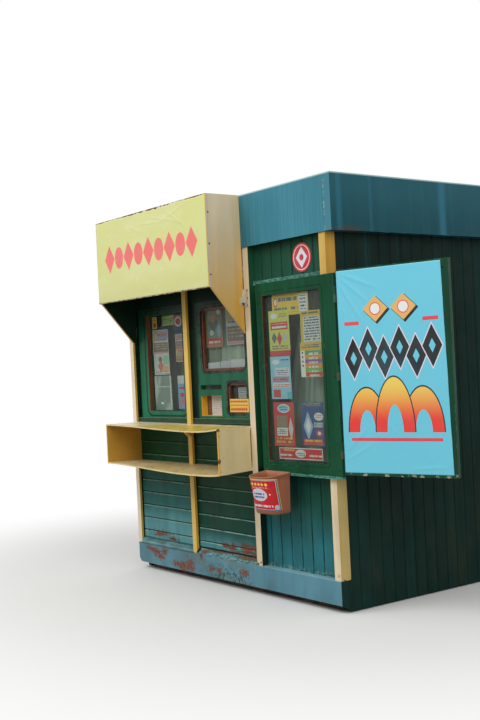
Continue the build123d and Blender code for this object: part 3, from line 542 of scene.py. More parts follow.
def canopy_paint():
    """Cheeks and top of the canopy: beige above and ochre below outside, deep green inside."""
    paint = Paint("canopy paint")
    inner = most(
        paint.faces("right") * paint.x.ramp(-0.5, -0.6), paint.faces("left") * paint.x.ramp(0.1, 0.2),
        paint.faces("underside") * paint.z.ramp(2.6, 2.7),
    )
    wander = paint.waver(paint.z, 0.3, 3, (1, 1, 0.5))
    back = paint.y.ramp(-1.16, -1.06, 0.0, 0.3)
    ochre = wander.ramp(2.85, 2.05, 0.0, 0.9) + back
    outer = paint.mix(paint.maths("MINIMUM", ochre, 1.0), BEIGE, rgb(212, 166, 76))
    paint.colour = paint.mix(inner, outer, rgb(12, 34, 22))
    right_cheek = paint.x.ramp(0.3, 0.34)
    paint.cover(paint.y.ramp(-1.334, -1.337) * right_cheek, rgb(206, 192, 186))
    joint = paint.y.ramp(*CHEEK_SEAM) * paint.faces("right") * right_cheek
    joint = joint * paint.noise(26, (1, 1, 0.25), 4).ramp(0.4, 0.5)
    flecks = joint * paint.noise(44, shift=3.0).ramp(0.6, 0.64, 0.0, 0.6)
    paint.cover(flecks, rgb(220, 214, 200))
    worn = paint.chips(0.2, 30) | joint - flecks
    return weather(
        paint, clouds=0.05, streaks=0.04, worn=worn, worn_colour=rgb(96, 64, 40), grime=0.08, grime_top=4.0,
        gloss=(0.35, 0.55), edge_wear=0.5, edge_colour=rgb(208, 190, 150),
    )


def fascia_paint():
    """Sheet band: teal-blue front, darker sides, pale runs, a worn top fold with a painted highlight, rust at
    the foot.
    """
    paint = Paint("roof band paint")
    front = paint.faces("front")
    runs = paint.noise(46, (1, 1, 0.02), 4, shift=2.5).ramp(0.45, 0.72)
    fine = paint.noise(60, (1, 1, 0.03), 3, shift=4.1).ramp(0.4, 0.65)
    face = paint.mix(paint.x.ramp(0.6, 0.36) * 0.5, FASCIA_FRONT_BLUE, rgb(32, 84, 92))
    face = paint.mix(fine * 0.22, face, rgb(96, 152, 160))
    face = paint.mix(paint.x.ramp(1.238, 1.242) * 0.6, face, rgb(76, 128, 142))
    side = paint.mix(runs * 0.35, FASCIA_SIDE_TEAL, rgb(30, 92, 106))
    for y, wide, share in ((-0.99, 0.02, 0.6), (-0.72, 0.015, 0.35), (-0.06, 0.03, 0.85)):
        strip = paint.y.within(y - wide, y + wide, 0.6 * wide) * share
        side = paint.mix(strip, side, rgb(48, 112, 134))
    paint.colour = paint.mix(front, side, face)
    paint.cover(paint.z.ramp(2.4, 2.72, 0.0, 0.3), rgb(56, 118, 134))
    # Painted highlight along the band's top fold
    paint.cover(paint.z.ramp(2.738, 2.746) * 0.8, rgb(188, 214, 214))
    corner_fold = front * paint.x.within(1.234, 1.242, 0.002)
    paint.cover(paint.chips(0.44, 60, 8.0, corner_fold), rgb(176, 170, 150))
    rusty = most(
        paint.chips(0.3, 34, 3.0, paint.z.ramp(2.398, 2.39)),
        0.45 * paint.blot((1.298, -0.9, 2.395), (0.3, 0.1, 0.02), 0.9, 60), paint.chips(0.2, 40),
    )
    return weather(
        paint, clouds=0.05, streaks=0.03, worn=rusty, worn_colour=RUST, grime=0.06, grime_top=5.0,
        gloss=(0.3, 0.45), grain_depth=0.0003, edge_wear=0.4, edge_colour=rgb(120, 156, 160), shine=0.12,
    )


def wood_bead():
    """Varnished brown wood with fine grain; green paint on the square windows' other three sides."""
    paint = Paint("brown varnished bead")
    grain = paint.noise(60, (4, 4, 0.2), 5).ramp(0.3, 0.7)
    paint.colour = paint.mix(grain, rgb(84, 50, 36), rgb(126, 78, 52))
    paint.cover(paint.x.ramp(0.45, 0.5, 0.0, 0.7), rgb(46, 34, 28))
    in_left_window = paint.x.ramp(-0.99, -0.985) * paint.x.ramp(-0.4, -0.41)
    paint.cover(in_left_window | paint.x.ramp(0.62, 0.625), rgb(18, 56, 38))
    return weather(
        paint, worn=paint.chips(0.3), worn_colour=rgb(140, 112, 88), gloss=(0.25, 0.5), grime=0.3,
    )


def rubber():
    """Black gasket rubber, greyed and dusty in patches."""
    paint = Paint("gasket rubber")
    dust = paint.noise(14, detail=5).ramp(0.35, 0.7)
    paint.colour = paint.mix(dust, rgb(30, 30, 30), rgb(66, 68, 66))
    return weather(paint, gloss=(0.5, 0.7), grime=0.1, edge_wear=0.5, edge_colour=rgb(120, 124, 118))


def glass():
    """Clear glass, a little grey with dust: nearly all of it lets sight and light through."""
    paint = Paint("window glass")
    smears = paint.noise(5, (1, 1, 0.4), 5).ramp(0.4, 0.8, 0.04, 0.22)
    clear = paint.node("ShaderNodeBsdfTransparent")
    clear.inputs["Color"].default_value = (0.9, 0.93, 0.91, 1)
    dust = paint.noise(3, (1, 1, 0.3), 6, shift=2.2).ramp(0.3, 0.8, 0.07, 0.14)
    paint.veil(dust * (1.0 - paint.ray("Shadow")), clear.outputs[0], paint.shader.outputs[0])
    return paint.settle({"Base Color": rgb(120, 126, 118), "Roughness": smears, "Specular IOR Level": 0.9})


def steel(name, bright, rust_share, metallic=0.4):
    """Steel under old paint or zinc: dull metal with rust where the noise peaks."""
    paint = Paint(name, bright)
    paint.cover(paint.noise(40, detail=6).ramp(0.62 - rust_share, 0.7 - rust_share), RUST)
    paint.shader.inputs["Metallic"].default_value = metallic
    return weather(paint, gloss=(0.45, 0.7), grime=0.3, grain=(3, 3, 3), grain_depth=0.001)


def bin_plastic():
    """Terracotta plastic with fine moulded grain, paler and dusty along the rim."""
    paint = Paint("terracotta plastic")
    paint.colour = paint.mix(paint.z.ramp(0.84, 0.857) * 0.25, rgb(160, 102, 76), rgb(196, 148, 118))
    paint.cover(paint.z.ramp(0.68, 0.6, 0.0, 0.35), rgb(140, 90, 68))
    return weather(
        paint, clouds=0.08, streaks=0.08, gloss=(0.42, 0.58), grain=(12, 12, 12), grain_depth=0.0002,
        grime=0.25, edge_wear=0.5, edge_colour=rgb(206, 160, 130),
    )


def timber(name, light, dark, stretch):
    """Bare worn timber: long grain, light to dark."""
    paint = Paint(name, light)
    paint.cover(paint.noise(30, stretch, 6).ramp(0.3, 0.7), dark)
    return weather(paint, gloss=(0.6, 0.8), grime=0.4, grain=stretch, grain_depth=0.001)


def curtain_cloth(name, shade, light, dim_until=None):
    """Thin grey-green curtain cloth with a fine weave, darker up to a place along X if one is given."""
    paint = Paint(name, shade)
    weave = paint.maths("SINE", paint.x * WEAVE) * paint.maths("SINE", paint.z * WEAVE)
    paint.cover(paint.noise(3, (2, 1, 0.4), 4).ramp(0.3, 0.7), light)
    if dim_until is not None:
        paint.cover(paint.x.ramp(dim_until + 0.01, dim_until - 0.01, 0.0, 0.75), rgb(96, 104, 84))
    relief = paint.bump(weave, 0.0002, 0.5)
    return paint.settle({"Base Color": paint.colour, "Roughness": 0.9, "Sheen Weight": 0.2, "Normal": relief})


# Prints: plain shapes laid over one another on a flat sheet
class Print(Paint):
    """A printed sheet. Shapes are given in shares of its width and height from its lower left corner."""

    def __init__(self, name, corner, size, ground, turn=0.0, tilt=0.0, unrolled=False):
        """The sheet lies flat from its corner, turned and tilted, or takes its shares from its own UV map."""
        super().__init__(name, ground)
        if unrolled:
            across, up, _ = self.parts(self.node("ShaderNodeUVMap", uv_map="flat").outputs[0])
            self.sheet = self.joined(self.node("ShaderNodeCombineXYZ"), {0: across, 2: up})
        else:
            flat = self.node("ShaderNodeMapping", vector_type="TEXTURE")
            turned = {"Vector": self.place, "Location": corner, "Rotation": (0, -tilt, turn)}
            lying = self.joined(flat, turned)
            self.sheet = self.vector("MULTIPLY", lying, (1 / size[0], 0, 1 / size[1]))
        self.across, _, self.up = self.parts(self.sheet)

    def mask(self, kind, across, up, wide, high):
        """1 inside a bar, disc or lozenge with this middle and these half sizes."""
        middle = (-across / wide, 0, -up / high)
        spread = self.vector("MULTIPLY_ADD", self.sheet, (1 / wide, 0, 1 / high), middle)
        if kind == "disc":
            away = self.vector("LENGTH", spread)
        else:
            side, _, rise = self.parts(self.vector("ABSOLUTE", spread))
            away = side | rise if kind == "bar" else side + rise
        return self.maths("LESS_THAN", away, 1.0)

    def rules(self, across, up, wide, high, rows, colour, density=0.42):
        """Rows of short dashes, like small print seen from afar."""
        count = self.up * (rows / (2 * high))
        ink = self.maths("LESS_THAN", self.maths("FRACT", count), 0.55)
        place = (self.across * (9.0 / wide), self.maths("FLOOR", count) * 7.3)
        place = self.joined(self.node("ShaderNodeCombineXYZ"), place)
        words = self.node("ShaderNodeTexNoise", noise_dimensions="2D")
        words = self.joined(words, {"Vector": place, "Scale": 1.0, "Detail": 0.0})
        word = self.maths("GREATER_THAN", words, density)
        self.cover(self.mask("bar", across, up, wide, high) * ink * word, colour)

    def lay(self, *shapes):
        """Print shapes in their order: the kind, middle, half sizes and colour of each, or rows of dashes."""
        for kind, *shape in shapes:
            if kind == "rules":
                self.rules(*shape)
            else:
                self.cover(self.mask(kind, *shape[:4]), shape[4])

    def finish(self, gloss=0.45, fade=0.12, depth=0.0006, dull=1.0):
        """Fade the print a little in clouds, and give the sheet its slight unevenness."""
        self.cover(self.noise(7, detail=5).ramp(0.3, 0.7, 0.0, fade), rgb(196, 196, 186))
        colour = self.mix(1.0, self.colour, (dull, dull, dull, 1), "MULTIPLY")
        relief = self.bump(self.noise(16, detail=4), depth)
        return self.settle({
            "Base Color": colour, "Roughness": gloss, "Specular IOR Level": 0.25, "Normal": relief,
        })


# Shapes
def outward(points, face_sets):
    """A closed shell with its faces turned so that the volume they enclose is positive."""
    volume = 0.0
    for faces_of_size in face_sets:
        corners = points[faces_of_size]
        volume += np.einsum("ij,ikj->", corners[:, 0], np.cross(corners[:, 1:-1], corners[:, 2:]))
    if volume < 0:
        face_sets = [faces_of_size[:, ::-1] for faces_of_size in face_sets]
    return points, face_sets


def swept(rings):
    """A closed outline carried along a path: rings is (stations, points, 3); each end is one face."""
    stations, around = rings.shape[:2]
    index = np.arange(stations * around).reshape(stations, around)
    here, there = index[:-1], index[1:]
    sides = np.stack([here, np.roll(here, -1, 1), np.roll(there, -1, 1), there], -1)
    return outward(rings.reshape(-1, 3), [sides.reshape(-1, 4), index[:1, ::-1], index[-1:]])


def slab(front, back):
    """A closed plate between two grids of points of one size: the two faces and the four edges."""
    rows, columns = front.shape[:2]
    index = np.arange(rows * columns).reshape(rows, columns)
    face = np.stack([index[:-1, :-1], index[1:, :-1], index[1:, 1:], index[:-1, 1:]], -1).reshape(-1, 4)
    rim = np.concatenate([index[0, :-1], index[:-1, -1], index[-1, :0:-1], index[:0:-1, 0]])
    edge = np.stack([rim, np.roll(rim, -1)], -1)
    behind = index.size
    edge = np.concatenate([edge, edge[:, ::-1] + behind], 1)
    points = np.concatenate([front.reshape(-1, 3), back.reshape(-1, 3)])
    return outward(points, [np.concatenate([face, face[:, ::-1] + behind, edge])])


def box(low, high):
    """A plain board between two corners."""
    x, y, z = zip(low, high)
    square = np.array([(x[0], y[0]), (x[1], y[0]), (x[1], y[1]), (x[0], y[1])])
    return swept(np.array([[(*corner, level) for corner in square] for level in z]))


def circle_about(axis, sides):
    """A circle of radius 1 round an axis through the origin, as points."""
    across = np.cross(axis, (0, 0, 1)) if abs(axis[2]) < 0.9 else np.array([1.0, 0, 0])
    across /= np.linalg.norm(across)
    up = np.cross(axis, across)
    angle = np.linspace(0, 2 * pi, sides, endpoint=False)[:, None]
    return np.cos(angle) * across + np.sin(angle) * up


def head(centre, normal, radius, rise, sides=12):
    """A domed screw head: rings at 1, 0.95, 0.7 and 0.3 of its radius, rising along the normal."""
    centre, normal = np.array(centre, float), np.array(normal, float)
    circle = radius * circle_about(normal, sides)
    levels = ((1.0, -0.3), (0.95, 0.45), (0.7, 0.85), (0.3, 1.0))
    return swept(np.array([centre + circle * wide + normal * rise * high for wide, high in levels]))


def rod(start, end, radius, sides=8):
    """A straight round rod between two points."""
    start, end = np.array(start, float), np.array(end, float)
    circle = radius * circle_about((end - start) / np.linalg.norm(end - start), sides)
    return swept(np.array([start + circle, end + circle]))


def piece(name, groups, slot, body="kiosk", stands_for=()):
    """One object at the origin from groups of (finish, shells, smooth)."""
    points, loops, sizes, finish_of, smooth_of = [], [], [], [], []
    count = 0
    mesh = bpy.data.meshes.new(name)
    for index, (finish, shells, smooth) in enumerate(groups):
        mesh.materials.append(finish)
        for shell_points, face_sets in shells:
            points.append(shell_points)
            for faces_of_size in face_sets:
                loops.append((faces_of_size + count).ravel())
                sizes.append(np.full(len(faces_of_size), faces_of_size.shape[1]))
                finish_of.append(np.full(len(faces_of_size), index))
                smooth_of.append(np.full(len(faces_of_size), smooth and faces_of_size.shape[1] == 4))
            count += len(shell_points)
    points, loops, sizes = np.concatenate(points), np.concatenate(loops), np.concatenate(sizes)
    mesh.vertices.add(len(points))
    mesh.vertices.foreach_set("co", points.astype(np.float32).ravel())
    mesh.loops.add(len(loops))
    mesh.loops.foreach_set("vertex_index", loops.astype(np.int32))
    mesh.polygons.add(len(sizes))
    mesh.polygons.foreach_set("loop_start", (np.cumsum(sizes) - sizes).astype(np.int32))
    mesh.polygons.foreach_set("material_index", np.concatenate(finish_of).astype(np.int32))
    mesh.polygons.foreach_set("use_smooth", np.concatenate(smooth_of).astype(bool))
    mesh.update(calc_edges=True)
    mesh.validate()
    made = bpy.data.objects.new(name, mesh)
    bpy.context.scene.collection.objects.link(made)
    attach(made, body)
    if stands_for:
        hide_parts(*stands_for)
    return made


def plain_piece(name, finish, shells, slot, smooth=False, **ties):
    """A piece of one finish."""
    return piece(name, [(finish, shells, smooth)], slot, **ties)


def unroll(made, flat):
    """Give a piece a UV map from one flat place a vertex."""
    mesh = made.data
    corners = np.empty(len(mesh.loops), np.int32)
    mesh.loops.foreach_get("vertex_index", corners)
    mesh.uv_layers.new(name="flat").data.foreach_set("uv", flat[corners].astype(np.float32).ravel())


def coat(finish, *names):
    """Give CAD nodes their finish."""
    for name in names:
        slots = nodes[name].data.materials
        if len(slots) == 0:
            slots.append(finish)
        for index in range(len(slots)):
            nodes[name].material_slots[index].link = "OBJECT"
            nodes[name].material_slots[index].material = finish


def ripple(along, seed, length, count=5):
    """An unevenness, about -1 to 1: a sum of sines, each shorter and lower than the last, lengths and phases
    drawn by the seed."""
    draw = np.random.default_rng(seed)
    total = np.zeros_like(along, dtype=float)
    for step in range(count):
        wave = length * draw.uniform(0.7, 1.3) / 1.6**step
        total += np.sin(2 * pi * along / wave + draw.uniform(0, 2 * pi)) / 1.5**step
    return total / 2.2


def creases(across, up, folds):
    """Soft ridges in a sheet: each runs from a point at an angle, a bell in section, fading at its ends.

    A fold gives its start across and up, its angle in degrees, its length, its width and its height.
    """
    total = np.zeros_like(across)
    for start, level, degrees, length, width, height in folds:
        angle = radians(degrees)
        along = ((across - start) * cos(angle) + (up - level) * sin(angle)) / length
        aside = (up - level) * cos(angle) - (across - start) * sin(angle)
        inside = np.clip(along, 0, 1)
        total += height * 4 * inside * (1 - inside) * np.exp(-((aside / width) ** 2))
    return total


JOINT_DEPTH = 0.009
ROUND_OFF, ROUND_DEPTH = 0.002, 0.0012
BOARD_LIE = 0.0016
END_DEPTH = 0.002


def board_face(start, end, pitch, joint, groove, seed):
    """Upright boards edge to edge in plan: a V at each joint, faces a little proud or back of each other.

    One joint lies at `joint`. Returns the way along and the depth behind the wall's face of each point.
    """
    draw = np.random.default_rng(seed)
    joints = np.arange(start + (joint - start) % pitch, end, pitch)
    joints = joints[(joints > start + 2 * groove) & (joints < end - 2 * groove)]
    left, right = np.append(start, joints), np.append(joints, end)
    lie = draw.uniform(0, BOARD_LIE, (2, len(left)))
    half = groove / 2
    along = np.stack([
        left, left + half, left + half + ROUND_OFF, (left + right) / 2, right - half - ROUND_OFF,
        right - half,
    ], -1)
    behind = np.stack([
        np.full(len(left), JOINT_DEPTH), lie[0] + ROUND_DEPTH, lie[0], lie.mean(0) + 0.0002, lie[1],
        lie[1] + ROUND_DEPTH,
    ], -1)
    behind[0, 0] = END_DEPTH
    return np.append(along.ravel(), end), np.append(behind.ravel(), END_DEPTH)


def boarded(place, start, end, low, high, thickness, seed, pitch=0.0993, joint=-0.888, groove=0.013):
    """A wall of upright boards: the outline of board_face, closed behind, carried upwards."""
    along, behind = board_face(start, end, pitch, joint, groove, seed)
    along = np.append(along, [end, start])
    behind = np.append(behind, [thickness, thickness])
    levels = np.linspace(low, high, 2)
    return swept(np.array([np.stack([*place(along, behind), np.full(len(along), z)], -1) for z in levels]))


# Walls of upright boards
cladding = cladding_paint()
RIGHT_WALL_LOW, RIGHT_WALL_HIGH = low_high("right_wall")
LEFT_WALL_FACE = low_high("left_wall")[0][0]
REAR_WALL_LOW, REAR_WALL_HIGH = low_high("rear_wall")
DOOR_LOW, DOOR_HIGH = low_high("rear_door_frame")
WALL_THICKNESS = REAR_WALL_HIGH[1] - REAR_WALL_LOW[1]


side_span = (RIGHT_WALL_LOW[1], RIGHT_WALL_HIGH[1], RIGHT_WALL_LOW[2], RIGHT_WALL_HIGH[2], WALL_THICKNESS)
for name, place, seed in (
    ("right_wall", lambda along, behind: (RIGHT_WALL_HIGH[0] - behind, along), 3),
    ("left_wall", lambda along, behind: (LEFT_WALL_FACE + behind, along), 4),
):
    boards = boarded(place, *side_span, seed)
    plain_piece(name + "_boards", cladding, [boards], "dark_green_cladding", stands_for=[name])


def rear_side(along, behind):
    """A way along the rear wall and a depth behind its face, in plan."""
    return along, REAR_WALL_HIGH[1] - behind


beside_and_over_door = (
    (REAR_WALL_LOW[0], DOOR_LOW[0], REAR_WALL_LOW[2]), (DOOR_HIGH[0], REAR_WALL_HIGH[0], REAR_WALL_LOW[2]),
    (DOOR_LOW[0], DOOR_HIGH[0], DOOR_HIGH[2]),
)
rear_shells = [
    boarded(rear_side, start, end, low, REAR_WALL_HIGH[2], WALL_THICKNESS, 5 + number)
    for number, (start, end, low) in enumerate(beside_and_over_door)
]
under_door = (DOOR_LOW[0], REAR_WALL_LOW[1], REAR_WALL_LOW[2]), (DOOR_HIGH[0], REAR_WALL_HIGH[1], DOOR_LOW[2])
rear_shells.append(box(*under_door))
plain_piece("rear_wall_boards", cladding, rear_shells, "dark_green_cladding", stands_for=["rear_wall"])

for name, top_colour, low_colour, top, low, grime, pitch, joint, seed in (
    ("boards_over_window", BOARD_GREEN, rgb(34, 78, 66), 2.5, 2.1, 0.15, 0.1088, 0.605, 8),
    ("boards_under_window", rgb(24, 72, 60), rgb(42, 112, 120), 0.84, 0.42, 0.25, 0.1075, 0.573, 9),
):
    box_low, box_high = low_high(name)
    boards = boarded(
        lambda along, behind: (along, SHOW_FACE + behind), box_low[0], box_high[0], box_low[2], box_high[2],
        box_high[1] - box_low[1], seed, pitch=pitch, joint=joint, groove=0.012,
    )
    paint = boards_paint(name.replace("_", " ") + " paint", top_colour, low_colour, top, low, grime)
    plain_piece(name + "_grooved", paint, [boards], "board_green", stands_for=[name])


# Lapped siding of the serving bays
COURSE = 0.1018
FIRST_LAPS = (0.3125, 0.300)
COVE_HEIGHT = 0.022
COVE_DEPTH = 0.011
LIP = 0.007  # the square lower edge of a board
DRIP_LOW, DRIP_HIGH = low_high("drip_boards")


def siding_outline(low, high, first):
    """Section of drop siding, (depth, height): each board is flat, then a quarter-round cove runs in under
    the square lower edge of the next."""
    tops = np.arange(first, high, COURSE)[:, None]
    turn = np.linspace(0, pi / 2, 5)
    depth = np.append(COVE_DEPTH * (1 - np.cos(turn)), [COVE_DEPTH, 0.0])
    rise = np.append((COVE_HEIGHT - LIP) * np.sin(turn) - COVE_HEIGHT, [0.0, 0.0])
    laps = np.stack(np.broadcast_arrays(depth, tops + rise), -1).reshape(-1, 2)
    return np.concatenate([[(0.0, low)], laps, [(0.0, high)]])


def siding_bay(start, end, first, seed):
    """The siding's section carried along a bay, waving a little along its length."""
    depth, height = siding_outline(SIDING_LOW[2], SIDING_HIGH[2], first).T
    stations = np.linspace(start, end, 25)[:, None]
    sway = 0.0006 * (1 + ripple(height * 3 + stations, seed, 0.7))
    back = np.full((len(stations), 2), SIDING_HIGH[1])
    across = np.append(SIDING_LOW[1] + depth + sway, back, 1)
    height = np.append(height, [SIDING_HIGH[2], SIDING_LOW[2]])
    return swept(np.stack(np.broadcast_arrays(stations, across, height), -1))


siding = siding_paint()
bay_shells = [siding_bay(*bay, first, seed) for bay, first, seed in zip(BAYS, FIRST_LAPS, (11, 12))]
plain_piece("lapped_siding", siding, bay_shells, "board_green", stands_for=["bay_siding"])


LIP_HEIGHT = 0.01
CRACK_WIDTH = 0.004


def drip_board(start, end, seed, rot):
    """A sloping drip board, (depth, height) section: its lip is bitten back where the wood has rotted."""
    stations = np.linspace(start, end, 90)
    bite = np.clip(ripple(stations, seed, 0.16), 0, 1) * rot * np.clip((stations - start) / 0.2, 0, 1)
    fray = 0.0015 * np.abs(ripple(stations, seed + 1, 0.03))
    front = DRIP_LOW[1] + bite + fray
    slope = (DRIP_HIGH[2] - DRIP_LOW[2] - LIP_HEIGHT) / (DRIP_HIGH[1] - DRIP_LOW[1])
    lip = DRIP_LOW[2] + LIP_HEIGHT + (front - DRIP_LOW[1]) * slope
    middle = (front + DRIP_HIGH[1]) / 2
    crack = 0.004 * np.clip(ripple(stations, seed + 2, 0.3), 0, 1)
    ridge = DRIP_LOW[2] + LIP_HEIGHT + (middle - DRIP_LOW[1]) * slope
    columns = (
        (front, DRIP_LOW[2]), (front, lip),
        (middle - CRACK_WIDTH, ridge - CRACK_WIDTH * slope), (middle, ridge - crack),
        (middle + CRACK_WIDTH, ridge + CRACK_WIDTH * slope),
        (DRIP_HIGH[1] - 0.009, DRIP_HIGH[2] - 0.003), (DRIP_HIGH[1], DRIP_HIGH[2] - 0.022),
        (DRIP_HIGH[1], DRIP_LOW[2]),
    )
    return swept(np.stack([np.stack(np.broadcast_arrays(stations, y, z), -1) for y, z in columns], 1))


drip_shells = [drip_board(*BAYS[0], 21, 0.006), drip_board(*BAYS[1], 22, 0.02)]
plain_piece("weathered_drip_boards", drip_paint(), drip_shells, "pale_blue_paint", stands_for=["drip_boards"])


# Canopy sign: a vinyl sheet over a steel plate
SIGN_LOW, SIGN_HIGH = low_high("canopy_sign")
SIGN_PLATE_FACE = SIGN_LOW[1] + 0.003
SIGN_FOLDS = (
    (-0.42, 2.70, -12, 0.5, 0.009, 0.0016),
    (-0.20, 2.735, -30, 0.42, 0.008, 0.0016),
    (-0.55, 2.66, -4, 0.4, 0.008, 0.0015),
    (-0.30, 2.62, 14, 0.5, 0.008, 0.0016),
    (-0.72, 2.68, -20, 0.3, 0.012, 0.0012),
    (-0.02, 2.70, -55, 0.35, 0.010, 0.0014),
    (0.20, 2.66, -80, 0.4, 0.02, 0.001),
    (-0.9, 2.30, 40, 0.4, 0.02, 0.0008),
    (0.05, 2.25, -60, 0.25, 0.012, 0.001),
)
SIGN_RED = rgb(236, 112, 108)
BAND_LEFT, BAND_RIGHT, BAND_LEVEL = -1.04, 0.24, 2.445
BAND_MOTIFS = 9
SIGN_RELIEF = 0.0021
VINYL = 0.0009


def sign_vinyl():
    """The vinyl: a grid over the plate with creases pressed into it, torn along its top edge."""
    across = np.linspace(SIGN_LOW[0] + 0.004, SIGN_HIGH[0] - 0.006, 240)
    up = np.linspace(0, 1, 100)
    torn = 0.003 + 0.006 * np.clip(0.5 + ripple(across, 41, 0.35), 0, 1)
    torn += 0.010 * np.exp(-(((across + 0.35) / 0.28) ** 2)) * np.clip(0.6 + ripple(across, 42, 0.1), 0, 1)
    bottom = SIGN_LOW[2] + 0.004 + 0.0012 * ripple(across, 43, 0.2)
    top = SIGN_HIGH[2] - torn
    x = np.broadcast_to(across, (len(up), len(across)))
    z = bottom + (top - bottom) * up[:, None]
    relief = creases(x, z, SIGN_FOLDS) + 0.0003 * (1 + ripple(x * 0.6 + z, 44, 0.5))
    crumpled = np.clip((z - 2.46) / 0.2, 0, 1) * np.clip((x + 0.75) / 0.3, 0, 1)
    small = np.abs(ripple(0.35 * x + z, 45, 0.08)) * np.abs(ripple(x - 0.4 * z, 46, 0.16))
    relief = np.clip(relief + 0.0007 * crumpled * small, 0, SIGN_RELIEF)
    front = np.stack([x, SIGN_PLATE_FACE - VINYL - relief, z], -1)
    back = np.stack([x, np.full_like(x, SIGN_PLATE_FACE), z], -1)
    return slab(front, back)


def sign_print():
    """Yellow-green vinyl with a band of discs and lozenges in red."""
    size = (SIGN_HIGH[0] - SIGN_LOW[0], SIGN_HIGH[2] - SIGN_LOW[2])
    sheet = Print("sign vinyl", tuple(SIGN_LOW), size, rgb(212, 214, 138))
    sheet.cover(sheet.noise(3, (1, 1, 2), 5, shift=2.0).ramp(0.4, 0.7), rgb(216, 218, 152))
    pitch = (BAND_RIGHT - BAND_LEFT) / BAND_MOTIFS
    level = (BAND_LEVEL - SIGN_LOW[2]) / size[1]
    for number in range(BAND_MOTIFS):
        middle = (BAND_LEFT + (number + 0.5) * pitch - SIGN_LOW[0]) / size[0]
        kind, wide, high = ("disc", 0.062, 0.082) if number % 2 else ("lozenge", 0.074, 0.108)
        sheet.lay((kind, middle, level, wide / size[0], high / size[1], SIGN_RED))
    scuffs = sheet.noise(14, (1, 1, 1.6), 6, shift=5.0).ramp(0.68, 0.72)
    sheet.cover(scuffs * 0.4, rgb(238, 236, 214))
    sheet.cover(sheet.z.ramp(SIGN_LOW[2] + 0.2, SIGN_LOW[2], 0.0, 0.16), rgb(176, 168, 110))
    return sheet.finish(0.34, 0.08, 0.0016)


def sign_plate_paint():
    """Rusty cream steel that shows along the sign's torn edges."""
    paint = Paint("sign plate paint", rgb(206, 192, 170))
    foot = paint.z.ramp(SIGN_LOW[2] + 0.012, SIGN_LOW[2] + 0.008)
    top = paint.z.ramp(SIGN_HIGH[2] - 0.03, SIGN_HIGH[2] - 0.02)
    inner = paint.x.ramp(SIGN_HIGH[0] - 0.004, SIGN_HIGH[0] - 0.008)
    rusty = paint.noise(26, (1, 1, 2), 5).ramp(0.42, 0.5) * ((foot | top) * inner)
    return weather(paint, worn=rusty, worn_colour=rgb(110, 72, 44), grime=0.1, grime_top=4)


plate = box((SIGN_LOW[0], SIGN_PLATE_FACE, SIGN_LOW[2]), SIGN_HIGH)
strip_finish = post_paint("sign edge strip paint", rgb(218, 186, 92), OCHRE, rgb(206, 192, 186))
strip = box(
    (SIGN_HIGH[0] - 0.006, SIGN_LOW[1] + 0.0006, SIGN_LOW[2]), (SIGN_HIGH[0], SIGN_PLATE_FACE, SIGN_HIGH[2])
)
sign_groups = (
    (sign_print(), [sign_vinyl()], True), (sign_plate_paint(), [plate], False),
    (strip_finish, [strip], False),
)
piece("canopy_sign_panel", sign_groups, "sign_sheet", stands_for=["canopy_sign"])


# Finishes of the solids that keep their shape
def sill_paint():
    """Deep green sills whose tops are pale towards the street: partly rubbed and dusty, partly painted
    highlight.
    """
    paint = Paint("sill paint")
    # Paler top faces: partly wear and dust, partly painted highlight where they look up
    top = paint.faces("top") * paint.noise(9, (1, 3, 1), 5).ramp(0.3, 0.6, 0.35, 0.9)
    paint.colour = paint.mix(top, rgb(20, 60, 40), rgb(122, 142, 112))
    return weather(paint, gloss=(0.3, 0.5), grime=0.2, edge_wear=0.7, edge_colour=rgb(150, 160, 128))


def trim_paint():
    """Pale teal strips over and under the show window, rubbed and dusty."""
    paint = Paint("pale teal trim paint")
    paint.colour = paint.mix(paint.noise(30, (1, 3, 3), 6).ramp(0.35, 0.65), rgb(44, 92, 76), TRIM_TEAL)
    return weather(
        paint, worn=paint.chips(0.36, 60), worn_colour=rgb(150, 172, 160), edge_wear=0.5,
        edge_colour=rgb(150, 186, 174), grime=0.2, shine=0.1,
    )


def sleeve_paint():
    """Yellow front edges of the hatch's lining; green inside, above its yellowed foot."""
    paint = Paint("hatch lining paint")
    rim = paint.mix(paint.z.ramp(1.2265, 1.2255), rgb(28, 88, 62), rgb(170, 160, 90))
    paint.colour = paint.mix(paint.faces("front"), rgb(224, 172, 52), rim)
    return weather(paint, worn=paint.chips(0.3), grime=0.2, grime_top=4)


def leaf_paint():
    """Green shutter: darker face, edges rubbed to pale and rusty paint, more so at the foot."""
    paint = Paint("shutter paint", rgb(20, 66, 46))
    foot = paint.z.ramp(LEAF_FOOT + 0.03, LEAF_FOOT)
    return weather(
        paint, worn=paint.chips(0.24) | paint.chips(0.46, 30, 3.3, foot), worn_colour=rgb(160, 158, 140),
        gloss=(0.28, 0.45), edge_wear=0.45, edge_colour=rgb(100, 132, 112), grime=0.25, grime_top=2.5,
        shine=0.12,
    )
